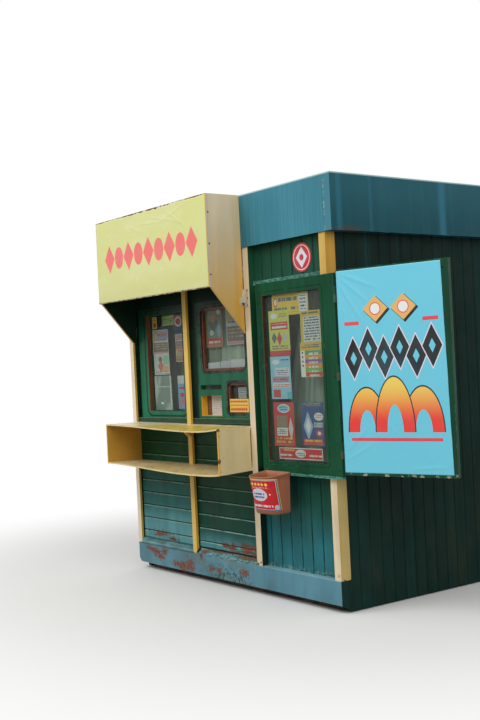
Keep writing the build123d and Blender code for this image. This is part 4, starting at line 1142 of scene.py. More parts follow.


# The posts' feet, as post_paint takes them; the reach of the painted shade beside the middle post;
# the seam as green_gloss takes it
RIGHT_POST_FOOT = (0.88, CREAM, rgb(14, 44, 34))
CORNER_POST_FOOT = (1.4, rgb(224, 206, 170), rgb(190, 166, 104))
PANEL_SHADE_REACH = MIDDLE_POST_HIGH[0] + 0.06
LEFT_WINDOW_SEAM = ((-0.756, 1.6325), 0.292, 0.4135, 0.07)
coats = (
    # The left window frame and the serving panel darken upwards: painted shade of the canopy
    (green_gloss("left window green gloss", rgb(30, 102, 74), dark=(1.55, 2.0, 0.9), seam=LEFT_WINDOW_SEAM),
     "left_window_frame"),
    (green_gloss("serving panel green gloss", rgb(28, 96, 68), dark=(1.5, 2.0, 0.9), shaded_until=PANEL_SHADE_REACH),
     "serving_panel"),
    (green_gloss("show window green gloss", rgb(20, 70, 46), shine=0.06), "show_window_frame"),
    (green_gloss("jamb green gloss", rgb(46, 118, 78), 0.3), "jamb_board"),
    (green_gloss("rear door green", rgb(28, 80, 58), 0.4), "rear_door", "rear_door_frame"),
    (sill_paint(), "bay_sills"),
    (header_paint_and_shade(), "header_boards"),
    (post_paint("left post paint", rgb(240, 222, 194), OCHRE, DEEP_GREEN, lap=0.018), "left_post"),
    (post_paint("middle post paint", rgb(228, 190, 100), rgb(222, 172, 62), DEEP_GREEN, lap=0.020),
     "middle_post"),
    (post_paint("right post paint", CREAM, rgb(216, 180, 100), rgb(30, 84, 56), RIGHT_POST_FOOT),
     "right_post"),
    (post_paint("corner post paint", rgb(204, 168, 86), OCHRE, rgb(190, 144, 54), CORNER_POST_FOOT),
     "corner_post"),
    (plinth_paint("left plinth paint", True), "plinth_left"),
    (plinth_paint("right plinth paint", False), "plinth_right"),
    (cladding, "plinth_corner"),
    (canopy_paint(), "canopy_left_cheek", "canopy_right_cheek", "canopy_roof"),
    (shelf_paint(), "shelf_top", "shelf_bottom", "shelf_cheeks", "shelf_braces"),
    (fascia_paint(), "fascia_front", "fascia_right", "fascia_rear", "fascia_left", "fascia_left_return"),
    (wood_bead(), "window_beads", "show_window_bead"),
    (rubber(), "window_gaskets"),
    (glass(), "serving_glass", "show_window_glass"),
    (steel("rusty hardware", rgb(206, 196, 176), 0.06), "hasp"),
    (steel("dark steel", rgb(52, 50, 46), 0.1), "bin_hooks", "base_bearers"),
    (steel("painted hinge steel", rgb(34, 84, 60), 0.12, 0.1), "hinge_pins", "rear_door_hinges"),
    (steel("roof sheet", rgb(150, 154, 152), 0.02, 0.5), "roof"),
    (timber("floor boards", rgb(150, 120, 88), rgb(108, 82, 58), (6, 0.3, 1)), "floor"),
    (trim_paint(), "head_trim", "window_ledge"),
    (sleeve_paint(), "hatch_sleeve"),
    (leaf_paint(), "shutter_leaf"),
)
for finish, *names in coats:
    coat(finish, *names)


# Poster on the shutter's street side
POSTER_LEFT, POSTER_RIGHT_TOP, POSTER_RIGHT_LOW = 0.0175, 0.727, 0.750
POSTER_LOW, POSTER_HIGH = 0.893, 2.123
POSTER_FOLDS = (
    (0.02, 2.10, -40, 0.30, 0.012, 0.0022),
    (0.02, 2.07, -58, 0.34, 0.012, 0.0022),
    (0.015, 2.02, -74, 0.30, 0.010, 0.0018),
    (0.02, 2.115, -22, 0.32, 0.012, 0.0020),
    (0.03, 1.02, 42, 0.24, 0.012, 0.0022),
    (0.02, 0.96, 28, 0.26, 0.010, 0.0020),
    (0.02, 1.10, 58, 0.22, 0.012, 0.0016),
    (0.45, 0.92, 4, 0.28, 0.010, 0.0016),
    (0.22, 1.34, -52, 0.30, 0.010, 0.0014),
    (0.08, 1.8, -86, 0.4, 0.014, 0.0010),
)
POSTER_BLUE = rgb(108, 198, 220)
POSTER_RED = rgb(222, 72, 78)
HILL_FOOT = 0.2


def poster_sheet():
    """The vinyl poster on the leaf: creases run in from its left corners and its lower edge."""
    share, up = np.meshgrid(np.linspace(0, 1, 150), np.linspace(0, 1, 220))
    z = POSTER_LOW + (POSTER_HIGH - POSTER_LOW) * up
    right = POSTER_RIGHT_LOW + (POSTER_RIGHT_TOP - POSTER_RIGHT_LOW) * up + 0.001 * ripple(z, 51, 0.4)
    u = POSTER_LEFT + (right - POSTER_LEFT) * share
    relief = creases(u, z, POSTER_FOLDS) + 0.0003 * (1 + ripple(u + 0.5 * z, 52, 0.6))
    base = np.array([*HINGE[:2], 0.0]) + u[..., None] * LEAF_ALONG + z[..., None] * np.array([0, 0, 1.0])
    front = base + (0.0012 + relief)[..., None] * LEAF_OUT
    back = base + 0.0002 * LEAF_OUT
    return slab(front, back)


def poster_print():
    """Sky blue ground; ochre lozenges, a black and white band, and hills shaded from yellow to red."""
    corner = Vector((*HINGE[:2], POSTER_LOW)) + Vector(LEAF_ALONG) * POSTER_LEFT
    size = (POSTER_RIGHT_LOW - POSTER_LEFT, POSTER_HIGH - POSTER_LOW)
    sheet = Print("poster print", corner, size, POSTER_BLUE, turn=SHUTTER_ANGLE)
    for across in (0.36, 0.62):
        sheet.lay(
            ("lozenge", across + 0.015, 0.792, 0.125, 0.068, BLACK),
            ("lozenge", across, 0.80, 0.118, 0.064, rgb(228, 176, 96)),
            ("disc", across, 0.80, 0.052, 0.031, POSTER_RED), ("disc", across, 0.80, 0.044, 0.026, WHITE),
        )
    sheet.lay(("bar", 0.13, 0.735, 0.07, 0.009, POSTER_RED), ("bar", 0.86, 0.735, 0.07, 0.009, POSTER_RED))
    for number in range(6):
        middle = 0.135 + number * 0.146
        level = 0.585 + (0.022 if number % 2 else -0.022)
        sheet.lay(
            ("lozenge", middle, level, 0.098, 0.112, rgb(226, 214, 226)),
            ("lozenge", middle, level, 0.088, 0.101, BLACK),
            ("lozenge", middle, level, 0.030, 0.034, POSTER_BLUE),
        )
    glow = sheet.mix(sheet.up.ramp(0.24, 0.46), rgb(230, 60, 52), rgb(240, 206, 84))
    above = sheet.maths("GREATER_THAN", sheet.up, HILL_FOOT)
    for across, high in ((0.24, 0.215), (0.76, 0.215), (0.5, 0.265)):
        hill = ((0.188, high + 0.008, BLACK), (0.178, high, glow), (0.075, high / 2, POSTER_BLUE))
        for wide, rise, colour in hill:
            sheet.cover(sheet.mask("disc", across, HILL_FOOT, wide, rise) * above, colour)
    sheet.lay(("bar", 0.5, 0.165, 0.42, 0.008, POSTER_RED))
    faded = sheet.noise(2.5, detail=5, shift=4.0).ramp(0.4, 0.7, 0.0, 0.25)
    sheet.cover(faded * 0.3, rgb(132, 206, 222))
    return sheet.finish(0.3, 0.03, 0.0008)


plain_piece("shutter_poster", poster_print(), [poster_sheet()], "sign_sheet", True, body="shutter")


# Papers behind the glass
PAPER = 0.0003
TAPE_GAP = 0.0004
LEAST_CURL, MORE_CURL = 0.0015, 0.0012


def paper(corner_x, corner_z, wide, high, glass_back, tilt, curl):
    """A sheet against the glass: tilted in its plane, its lower end curling away from the glass."""
    u, v = np.meshgrid(np.linspace(0, wide, 9), np.linspace(0, high, 13))
    x = corner_x + u * cos(tilt) - v * sin(tilt)
    z = corner_z + u * sin(tilt) + v * cos(tilt)
    y = glass_back + TAPE_GAP + curl * (1 - v / high) ** 2 * (0.4 + 0.6 * u / wide)
    return slab(np.stack([x, y, z], -1), np.stack([x, y + PAPER, z], -1))


def paper_finish(sheet, shapes):
    """Print the shapes on a paper and give its dull finish."""
    sheet.lay(*shapes)
    return sheet.finish(0.55, 0.08, 0.0002, dull=0.88)


YELLOW = rgb(232, 196, 64)
RED = rgb(206, 56, 62)
SKY = rgb(150, 204, 226)
NAVY = rgb(46, 78, 136)
LIME = rgb(206, 210, 100)
GREY_INK = rgb(96, 100, 104)
PINK = rgb(222, 150, 160)
AMBER = rgb(228, 150, 66)

banner_shapes = (
    ("disc", 0.10, 0.62, 0.055, 0.22, RED), ("disc", 0.10, 0.62, 0.035, 0.15, WHITE),
    ("rules", 0.44, 0.66, 0.26, 0.16, 1, GREY_INK, 0.3), ("rules", 0.40, 0.24, 0.34, 0.12, 1, GREY_INK, 0.4),
    ("bar", 0.86, 0.52, 0.11, 0.40, WHITE), ("rules", 0.86, 0.52, 0.09, 0.32, 4, NAVY),
)
offer_shapes = (
    ("bar", 0.5, 0.66, 0.42, 0.085, RED), ("rules", 0.5, 0.66, 0.36, 0.05, 1, WHITE, 0.3),
    ("disc", 0.26, 0.88, 0.16, 0.06, WHITE), ("rules", 0.7, 0.88, 0.2, 0.05, 2, RED),
    ("lozenge", 0.24, 0.40, 0.13, 0.13, GREY_INK), ("lozenge", 0.5, 0.38, 0.13, 0.16, RED),
    ("lozenge", 0.76, 0.40, 0.13, 0.13, rgb(190, 190, 190)), ("rules", 0.5, 0.2, 0.4, 0.05, 2, GREY_INK),
    ("bar", 0.5, 0.06, 0.5, 0.06, RED),
)
calendar_shapes = (
    ("disc", 0.28, 0.87, 0.18, 0.055, WHITE), ("rules", 0.72, 0.9, 0.2, 0.03, 1, NAVY),
    ("bar", 0.58, 0.64, 0.34, 0.09, WHITE), ("rules", 0.58, 0.64, 0.3, 0.07, 3, NAVY),
    ("bar", 0.5, 0.46, 0.42, 0.06, PINK), ("rules", 0.5, 0.46, 0.38, 0.05, 2, NAVY),
    ("bar", 0.5, 0.32, 0.42, 0.05, WHITE), ("rules", 0.5, 0.32, 0.4, 0.04, 2, RED),
    ("bar", 0.28, 0.13, 0.18, 0.09, RED), ("bar", 0.88, 0.08, 0.11, 0.08, rgb(84, 190, 200)),
)
ticket_shapes = (
    ("disc", 0.5, 0.86, 0.30, 0.10, WHITE), ("disc", 0.5, 0.86, 0.26, 0.08, SKY),
    ("rules", 0.5, 0.86, 0.2, 0.04, 1, NAVY), ("bar", 0.4, 0.55, 0.26, 0.15, rgb(150, 128, 108)),
    ("bar", 0.4, 0.33, 0.26, 0.09, WHITE), ("rules", 0.4, 0.33, 0.22, 0.06, 3, GREY_INK),
    ("lozenge", 0.82, 0.4, 0.12, 0.26, rgb(214, 206, 204)), ("rules", 0.5, 0.12, 0.42, 0.08, 2, YELLOW),
)
list_shapes = (
    ("bar", 0.56, 0.42, 0.42, 0.40, rgb(220, 222, 220)), ("rules", 0.56, 0.42, 0.38, 0.38, 9, GREY_INK, 0.36),
    ("rules", 0.5, 0.92, 0.4, 0.05, 1, GREY_INK, 0.3),
)
bar_tints = (rgb(74, 166, 92), AMBER, rgb(142, 92, 168), AMBER, rgb(110, 182, 84), RED)
bars_shapes = (
    ("rules", 0.5, 0.9, 0.4, 0.06, 2, GREY_INK, 0.3), ("bar", 0.11, 0.38, 0.10, 0.38, WHITE),
    *[("bar", 0.61, 0.70 - 0.125 * row, 0.38, 0.058, tint) for row, tint in enumerate(bar_tints)],
    *[("disc", 0.11, 0.70 - 0.125 * row, 0.035, 0.03, BLACK) for row in range(4)],
    ("rules", 0.61, 0.38, 0.22, 0.375, 6, WHITE, 0.45),
)
night_shapes = (
    ("disc", 0.78, 0.68, 0.2, 0.09, WHITE), ("rules", 0.78, 0.68, 0.14, 0.05, 2, RED),
    ("lozenge", 0.3, 0.46, 0.22, 0.34, rgb(160, 184, 214)), ("lozenge", 0.3, 0.46, 0.12, 0.2, WHITE),
    ("rules", 0.76, 0.5, 0.2, 0.06, 3, WHITE, 0.3), ("disc", 0.78, 0.3, 0.14, 0.08, RED),
    ("disc", 0.78, 0.3, 0.07, 0.04, WHITE), ("bar", 0.5, 0.1, 0.42, 0.07, RED),
    ("rules", 0.5, 0.1, 0.38, 0.05, 1, YELLOW, 0.3), ("rules", 0.5, 0.95, 0.4, 0.03, 1, YELLOW),
)
strip_shapes = (
    ("bar", 0.5, 0.5, 0.485, 0.42, rgb(222, 22, 38)), ("disc", 0.5, 0.52, 0.12, 0.34, WHITE),
    ("rules", 0.5, 0.5, 0.1, 0.16, 2, NAVY), ("rules", 0.16, 0.42, 0.14, 0.14, 1, WHITE, 0.3),
    ("rules", 0.84, 0.42, 0.14, 0.14, 1, WHITE, 0.3), ("rules", 0.24, 0.76, 0.12, 0.12, 1, YELLOW, 0.3),
)
picture_shapes = (
    ("bar", 0.5, 0.58, 0.43, 0.36, rgb(126, 138, 122)), ("lozenge", 0.46, 0.6, 0.3, 0.26, rgb(70, 96, 84)),
    ("disc", 0.46, 0.72, 0.16, 0.12, rgb(196, 130, 92)), ("disc", 0.36, 0.36, 0.12, 0.07, rgb(206, 214, 216)),
    ("lozenge", 0.8, 0.4, 0.14, 0.2, rgb(150, 180, 206)), ("disc", 0.8, 0.86, 0.1, 0.07, rgb(210, 214, 224)),
    ("bar", 0.5, 0.15, 0.4, 0.07, RED), ("rules", 0.5, 0.15, 0.34, 0.05, 1, WHITE, 0.3),
)
page_shapes = (
    ("bar", 0.5, 0.78, 0.46, 0.17, rgb(150, 170, 206)), ("bar", 0.14, 0.74, 0.09, 0.16, rgb(224, 176, 70)),
    ("rules", 0.6, 0.78, 0.3, 0.12, 1, rgb(224, 120, 90), 0.2), ("rules", 0.5, 0.57, 0.42, 0.04, 1, GREY_INK),
    ("bar", 0.5, 0.28, 0.46, 0.19, rgb(132, 116, 100)),
    ("rules", 0.5, 0.28, 0.42, 0.14, 3, rgb(196, 176, 160), 0.45),
    ("bar", 0.5, 0.05, 0.46, 0.03, PINK),
)
note_shapes = (
    ("bar", 0.78, 0.68, 0.18, 0.22, rgb(164, 204, 176)), ("disc", 0.42, 0.72, 0.12, 0.14, rgb(150, 110, 100)),
    ("lozenge", 0.44, 0.4, 0.2, 0.3, rgb(218, 120, 120)), ("bar", 0.74, 0.26, 0.2, 0.14, rgb(228, 176, 120)),
    ("rules", 0.5, 0.1, 0.42, 0.06, 1, RED, 0.4),
)
tag_shapes = (("disc", 0.5, 0.3, 0.3, 0.2, RED), ("rules", 0.5, 0.75, 0.4, 0.14, 2, RED))
green_note_shapes = (("rules", 0.5, 0.5, 0.42, 0.3, 3, GREY_INK),)
sticker_shapes = (
    ("bar", 0.5, 0.16, 0.5, 0.16, NAVY), ("disc", 0.5, 0.58, 0.4, 0.34, WHITE),
    ("disc", 0.5, 0.58, 0.3, 0.22, RED),
)
tall_blue_shapes = (
    ("bar", 0.5, 0.9, 0.5, 0.14, rgb(206, 212, 212)), ("rules", 0.5, 0.66, 0.4, 0.06, 1, RED, 0.2),
    ("disc", 0.55, 0.42, 0.3, 0.07, RED), ("rules", 0.5, 0.2, 0.42, 0.12, 4, rgb(200, 110, 130), 0.3),
)
form_shapes = (("rules", 0.5, 0.5, 0.42, 0.4, 5, GREY_INK),)

# Behind each window: its glass, and each sheet's name, lower left corner, size, ground, tilt and shapes
PAPERS = {
    "show_window_papers": (SHOW_GLASS_BACK, (
        ("yellow banner", 0.655, 1.895, 0.372, 0.142, YELLOW, -0.012, banner_shapes),
        ("offer sheet", 0.612, 1.628, 0.214, 0.302, LIME, 0.0, offer_shapes),
        ("calendar sheet", 0.607, 1.344, 0.212, 0.282, SKY, 0.0, calendar_shapes),
        ("red sheet", 0.618, 1.032, 0.214, 0.290, RED, 0.0, ticket_shapes),
        ("list sheet", 0.941, 1.702, 0.196, 0.205, rgb(218, 182, 66), 0.0, list_shapes),
        ("colour bar sheet", 0.925, 1.484, 0.212, 0.222, rgb(222, 184, 70), 0.0, bars_shapes),
        ("night blue sheet", 0.905, 1.040, 0.220, 0.280, NAVY, 0.0, night_shapes),
        ("red strip", 0.660, 0.948, 0.440, 0.076, WHITE, 0.006, strip_shapes),
    )),
    "left_window_papers": (SERVING_GLASS_BACK, (
        ("yellow tag", -0.985, 1.903, 0.070, 0.094, YELLOW, 0.0, tag_shapes),
        ("green note", -0.832, 1.920, 0.158, 0.074, rgb(170, 206, 96), 0.0, green_note_shapes),
        ("round sticker sheet", -0.670, 1.875, 0.122, 0.114, RED, 0.0, sticker_shapes),
        ("picture page", -0.988, 1.703, 0.226, 0.192, rgb(214, 206, 200), -0.015, page_shapes),
        ("second page", -0.980, 1.538, 0.224, 0.166, rgb(206, 216, 214), 0.01, note_shapes),
        ("small page", -0.660, 1.742, 0.112, 0.104, rgb(206, 196, 222), 0.0, page_shapes),
        ("yellow page", -0.658, 1.632, 0.106, 0.104, rgb(222, 190, 110), 0.0, page_shapes),
        ("tall blue sheet", -0.652, 1.270, 0.100, 0.256, rgb(120, 176, 214), 0.0, tall_blue_shapes),
    )),
    "right_window_papers": (SERVING_GLASS_BACK, (
        ("tall picture sheet", -0.240, 1.722, 0.210, 0.296, rgb(186, 128, 92), 0.0, picture_shapes),
        ("broad picture sheet", 0.020, 1.730, 0.224, 0.280, rgb(196, 206, 212), 0.0, page_shapes),
        ("white card", -0.226, 1.548, 0.150, 0.062, rgb(216, 218, 222), 0.02, ()),
        ("second white card", -0.070, 1.548, 0.120, 0.070, rgb(204, 210, 220), 0.0, ()),
        ("third white card", 0.054, 1.548, 0.200, 0.078, rgb(220, 222, 224), -0.01, ()),
        ("pale form", 0.130, 1.348, 0.118, 0.078, rgb(206, 210, 206), 0.0, form_shapes),
    )),
}
for piece_name, (glass_back, sheets) in PAPERS.items():
    groups = []
    for number, (name, x, z, wide, high, ground, tilt, shapes) in enumerate(sheets):
        sheet = Print(name, (x, glass_back, z), (wide, high), ground, tilt=tilt)
        curl = LEAST_CURL + MORE_CURL * (number % 3)
        leaf = paper(x, z, wide, high, glass_back, tilt, curl)
        groups.append((paper_finish(sheet, shapes), [leaf], False))
    piece(piece_name, groups, "sign_sheet")


# Yellow sheet taped outside, over the bead of the small window
GASKET_FACE = low_high("window_gaskets")[0][1]
TICKET_LOW, TICKET_HIGH = (0.075, 1.252), (0.298, 1.346)
ticket = Print(
    "yellow ticket sheet", (TICKET_LOW[0], GASKET_FACE, TICKET_LOW[1]),
    (TICKET_HIGH[0] - TICKET_LOW[0], TICKET_HIGH[1] - TICKET_LOW[1]), rgb(234, 200, 76),
)
ticket_rows = [
    ("lozenge", (column + 0.8) / columns, level, 0.52 / columns, high, RED)
    for level, columns, high in ((0.80, 11, 0.12), (0.52, 14, 0.07), (0.22, 9, 0.17))
    for column in range(columns - 1)
]
ticket_sheet = box(
    (TICKET_LOW[0], GASKET_FACE - 0.0005, TICKET_LOW[1]),
    (TICKET_HIGH[0], GASKET_FACE - 0.0001, TICKET_HIGH[1]),
)
plain_piece("small_window_ticket", paper_finish(ticket, ticket_rows), [ticket_sheet], "sign_sheet")


def sheer_paper():
    """A translucent bag's pale folds, greyed by the glass."""
    sheet = Print("pale backing sheet", (-0.99, SERVING_GLASS_BACK, 1.26), (0.25, 0.28), rgb(120, 138, 130))
    sheet.cover(sheet.noise(7, (1, 1, 0.5), 6, shift=3.3).ramp(0.42, 0.62), rgb(186, 200, 196))
    sheet.lay(
        ("bar", 0.93, 0.5, 0.03, 0.5, rgb(198, 208, 204)),
        ("bar", 0.45, 0.66, 0.45, 0.012, rgb(190, 204, 200)),
        ("disc", 0.42, 0.2, 0.09, 0.035, rgb(226, 232, 230)),
    )
    return sheet.finish(0.4, 0.1, 0.004)


backing = paper(-0.985, 1.262, 0.245, 0.270, SERVING_GLASS_BACK, 0.0, 0.003)
plain_piece("left_window_backing_sheet", sheer_paper(), [backing], "sign_sheet")


# Curtains on wires behind the windows
WIRE_RADIUS = 0.002
WIRE_PAST = 0.03
BRACKET = 0.004
CURTAIN_OFF = 0.022
wire_finish = steel("curtain wire", rgb(150, 150, 146), 0.0, 0.8)


def curtain(name, left, right, low, high, y, folds, depth, cloth, slant=0.0, seed=0):
    """A hanging curtain: a wave across its width that deepens downwards; one edge may be drawn aside.

    The cut's width is the length of the wave half way down, and its length is the drop.
    """
    share, drop = np.meshgrid(np.linspace(0, 1, 160), np.linspace(0, 1, 60))
    pulled = left + slant * (1 - drop) ** 1.3
    x = pulled + (right - pulled) * share
    phase = 2 * pi * folds * share + 0.5 * ripple(share, seed, 0.6) + 0.35 * np.sin(3 * drop)
    wave = depth * (0.55 + 0.45 * drop) * (np.sin(phase) + 0.25 * np.sin(2.3 * phase + 1.0))
    z = high - (high - low) * drop
    points = np.stack([x, y + wave, z], -1)
    behind = points + np.array([0, 0.0006, 0])
    made = plain_piece(name, cloth, [slab(points, behind)], "sign_sheet", True)
    ends = (left - WIRE_PAST, right + WIRE_PAST)
    level = high - BRACKET
    fixing = [rod(*[(end, y, level) for end in ends], WIRE_RADIUS)]
    for end in ends:
        fixing.append(box(
            (end - BRACKET, WALL_BACK, level - 2 * BRACKET), (end + BRACKET, y + BRACKET, high + BRACKET),
        ))
    wire = plain_piece(name + "_wire", wire_finish, fixing, "rusty_steel")
    return made


pale_cloth = curtain_cloth("curtain cloth", rgb(146, 166, 148), rgb(188, 202, 186), dim_until=-0.10)
grey_cloth = curtain_cloth("grey curtain cloth", rgb(124, 144, 132), rgb(154, 170, 156))
# A darker copy of the grey cloth, for the left window: painted shade of the canopy
canopy_shaded_cloth = curtain_cloth("dim curtain cloth", rgb(104, 116, 106), rgb(132, 142, 130))
CURTAIN_Y = WALL_BACK + CURTAIN_OFF
curtain("left_window_curtain", -1.03, -0.47, 1.235, 2.035, CURTAIN_Y + 0.09, 9, 0.011, canopy_shaded_cloth, seed=61)
curtain("upper_window_curtain", -0.29, 0.32, 1.50, 2.045, CURTAIN_Y, 7, 0.012, pale_cloth, seed=62)
curtain("show_window_curtain", 0.58, 1.15, 0.92, 2.06, CURTAIN_Y, 7, 0.010, grey_cloth, slant=0.30, seed=63)


# Hatch card and a strip of wood, standing at the sleeve's inner end, and a dusty card behind the slot,
# dark beyond its left end as painted shade of the slot's inside
SLEEVE_LOW, SLEEVE_HIGH = low_high("hatch_sleeve")
PANEL_BACK = low_high("serving_panel")[1][1]
card = Print("hatch card", (-0.23, SLEEVE_HIGH[1], SLEEVE_LOW[2]), (0.16, 0.15), rgb(200, 198, 198))
card_finish = paper_finish(card, [("rules", 0.5, 0.5, 0.44, 0.42, 8, rgb(176, 166, 156), 0.45)])
slot_card = Print("slot card", (-0.3, PANEL_BACK, 1.40), (0.1, 0.06), rgb(112, 118, 110))
card_back = SLEEVE_HIGH[1] + 0.002
card_groups = (
    (card_finish, box((-0.229, SLEEVE_HIGH[1], SLEEVE_LOW[2]), (-0.062, card_back, SLEEVE_HIGH[2]))),
    (timber("hatch strip wood", rgb(116, 82, 54), rgb(74, 52, 38), (6, 1, 0.3)),
     box((SLEEVE_LOW[0], SLEEVE_HIGH[1], SLEEVE_LOW[2]), (-0.231, card_back + 0.004, SLEEVE_HIGH[2]))),
    # Dark beyond the slot's left end: painted shade of the slot's inside
    (paper_finish(slot_card, [("bar", 2.0, 0.5, 1.25, 0.6, rgb(62, 60, 52))]),
     box((-0.296, PANEL_BACK, 1.402), (-0.03, PANEL_BACK + 0.001, 1.462))),
)
piece("hatch_card", [(finish, [shell], False) for finish, shell in card_groups], "sign_sheet")


# Round plate on the boards over the show window
PLATE_CENTRE = (0.929, 2.259)
PLATE_RADIUS = 0.095
PLATE_RED = rgb(190, 40, 46)


def plate_print():
    """A red plate with a pale ring, a pale lozenge and a red disc in it."""
    corner = (PLATE_CENTRE[0] - PLATE_RADIUS, SHOW_FACE, PLATE_CENTRE[1] - PLATE_RADIUS)
    sheet = Print("round plate print", corner, (2 * PLATE_RADIUS, 2 * PLATE_RADIUS), PLATE_RED)
    sheet.lay(
        ("disc", 0.5, 0.5, 0.44, 0.44, rgb(228, 196, 196)), ("disc", 0.5, 0.5, 0.40, 0.40, PLATE_RED),
        ("lozenge", 0.5, 0.5, 0.30, 0.36, rgb(214, 218, 230)), ("disc", 0.5, 0.5, 0.11, 0.11, PLATE_RED),
    )
    return sheet.finish(0.35, 0.1, 0.0003)


def round_plate():
    """A thin dished disc: rings from its rim to its middle on both faces."""
    angle = np.linspace(0, 2 * pi, 48, endpoint=False)
    circle = np.stack([np.cos(angle), np.zeros_like(angle), np.sin(angle)], -1)
    profile = ((1.0, 0.0002), (1.0, 0.0022), (0.96, 0.003), (0.6, 0.0026), (0.1, 0.0026))
    return swept(np.array([
        np.array([PLATE_CENTRE[0], SHOW_FACE - depth, PLATE_CENTRE[1]]) + PLATE_RADIUS * share * circle
        for share, depth in profile
    ]))


plain_piece("round_plate", plate_print(), [round_plate()], "sign_sheet")


# Litter bin and its label
BIN_LOW, BIN_HIGH = low_high("litter_bin")
BIN_MIDDLE = (BIN_LOW[0] + BIN_HIGH[0]) / 2
BIN_BACK = BIN_HIGH[1]
BIN_TOP = BIN_HIGH[2]
BIN_HALF_WIDTH, BIN_DEPTH, BIN_ROUND = 0.124, 0.185, 0.078
BIN_SIDE_DRAFT, BIN_FRONT_DRAFT, BIN_TUB_HEIGHT = 0.010, 0.046, 0.258
BIN_MOUTH_FALL, BIN_WALL, BIN_RIM = 0.022, 0.004, 0.005
LABEL_LEFT, LABEL_RIGHT_TOP, LABEL_RIGHT_LOW, LABEL_LOW, LABEL_HIGH = -0.118, 0.163, 0.162, 0.626, 0.836


def bin_section(level, lift):
    """Half width, depth and corner radius of the bin at a level, grown by the lift."""
    drop = (BIN_TOP - level) / BIN_TUB_HEIGHT
    side_inset, front_inset = BIN_SIDE_DRAFT * drop - lift, BIN_FRONT_DRAFT * drop - lift
    return BIN_HALF_WIDTH - side_inset, BIN_DEPTH - front_inset, BIN_ROUND - side_inset


def on_bin(around, level, lift):
    """A point on the bin's outside: along its flat front, round the corner arcs and back along its sides."""
    half, depth, radius = bin_section(level, lift)
    beyond = np.clip(np.abs(around) - half + radius, 0, None)
    turn = np.minimum(beyond / radius, pi / 2)
    past = np.clip(beyond - radius * pi / 2, 0, None)
    x = np.where(beyond > 0, np.sign(around) * (half - radius + radius * np.sin(turn)), around)
    y = BIN_BACK - depth + radius * (1 - np.cos(turn)) + past
    return np.stack([BIN_MIDDLE + x, y, level], -1)


def bin_ring(front_level, fall, lift):
    """The bin's outline, flat at the back and round in front; it rises by the fall from front to back."""
    turn = np.concatenate([[0, 0], np.linspace(0, pi / 2, 12), np.linspace(pi / 2, pi, 12), [pi, pi]])
    side = np.repeat([1.0, -1.0], 14)
    back = BIN_BACK + min(lift, 0)
    level = np.full(len(turn), front_level)
    for _ in range(2):
        half, depth, radius = bin_section(level, lift)
        x = side * (half - radius) + radius * np.cos(turn)
        y = BIN_BACK - depth + radius * (1 - np.sin(turn))
        y[[0, -1]], y[[1, -2]] = back, back - 0.002
        level = front_level + fall * (y - BIN_BACK + BIN_DEPTH) / BIN_DEPTH
    inward = np.array([x[-1] + 0.002, x[0] - 0.002])
    x, y = np.append(x, inward), np.append(y, [back, back])
    return np.stack([BIN_MIDDLE + x, y, np.append(level, [level[0], level[0]])], -1)


def bin_tub():
    """The tub's skin: its rounded foot, drafted walls, rolled rim, inside walls and bottom, as one sweep."""
    foot, mouth = BIN_LOW[2], BIN_TOP - BIN_MOUTH_FALL
    outside = ((foot, 0.0, -0.05), (foot, 0.0, -0.014), (foot + 0.003, 0.0, -0.005), (foot + 0.012, 0.0, 0.0))
    walls = tuple((level, 0.0, 0.0) for level in np.linspace(foot + 0.03, mouth - 0.03, 6))
    rim = (
        (mouth - 0.010, BIN_MOUTH_FALL, 0.0), (mouth - 0.008, BIN_MOUTH_FALL, BIN_RIM - 0.001),
        (mouth - 0.006, BIN_MOUTH_FALL, BIN_RIM), (mouth - 0.002, BIN_MOUTH_FALL, BIN_RIM),
        (mouth, BIN_MOUTH_FALL, BIN_RIM - 0.002), (mouth, BIN_MOUTH_FALL, -BIN_WALL + 0.001),
        (mouth - 0.002, BIN_MOUTH_FALL, -BIN_WALL),
    )
    inside = tuple((level, 0.0, -BIN_WALL) for level in np.linspace(mouth - 0.03, foot + 0.02, 5))
    bottom = ((foot + 0.008, 0.0, -0.012), (foot + 0.006, 0.0, -0.05))
    return swept(np.array([bin_ring(*ring) for ring in outside + walls + rim + inside + bottom]))


plain_piece("litter_bin_tub", bin_plastic(), [bin_tub()], "bin_plastic", True, stands_for=["litter_bin"])


def bin_label():
    """The label's grid, a share along and up, carried round the bin's outside, a little slack on it."""
    share, up = np.meshgrid(np.linspace(0, 1, 50), np.linspace(0, 1, 16))
    right = LABEL_RIGHT_LOW + (LABEL_RIGHT_TOP - LABEL_RIGHT_LOW) * up
    around = LABEL_LEFT + (right - LABEL_LEFT) * share
    level = LABEL_LOW + (LABEL_HIGH - LABEL_LOW) * up
    slack = 0.0004 * (1 + ripple(around + level, 71, 0.12))
    shell = slab(on_bin(around, level, 0.0012 + slack), on_bin(around, level, 0.0002))
    return shell, np.stack([share, up], -1)


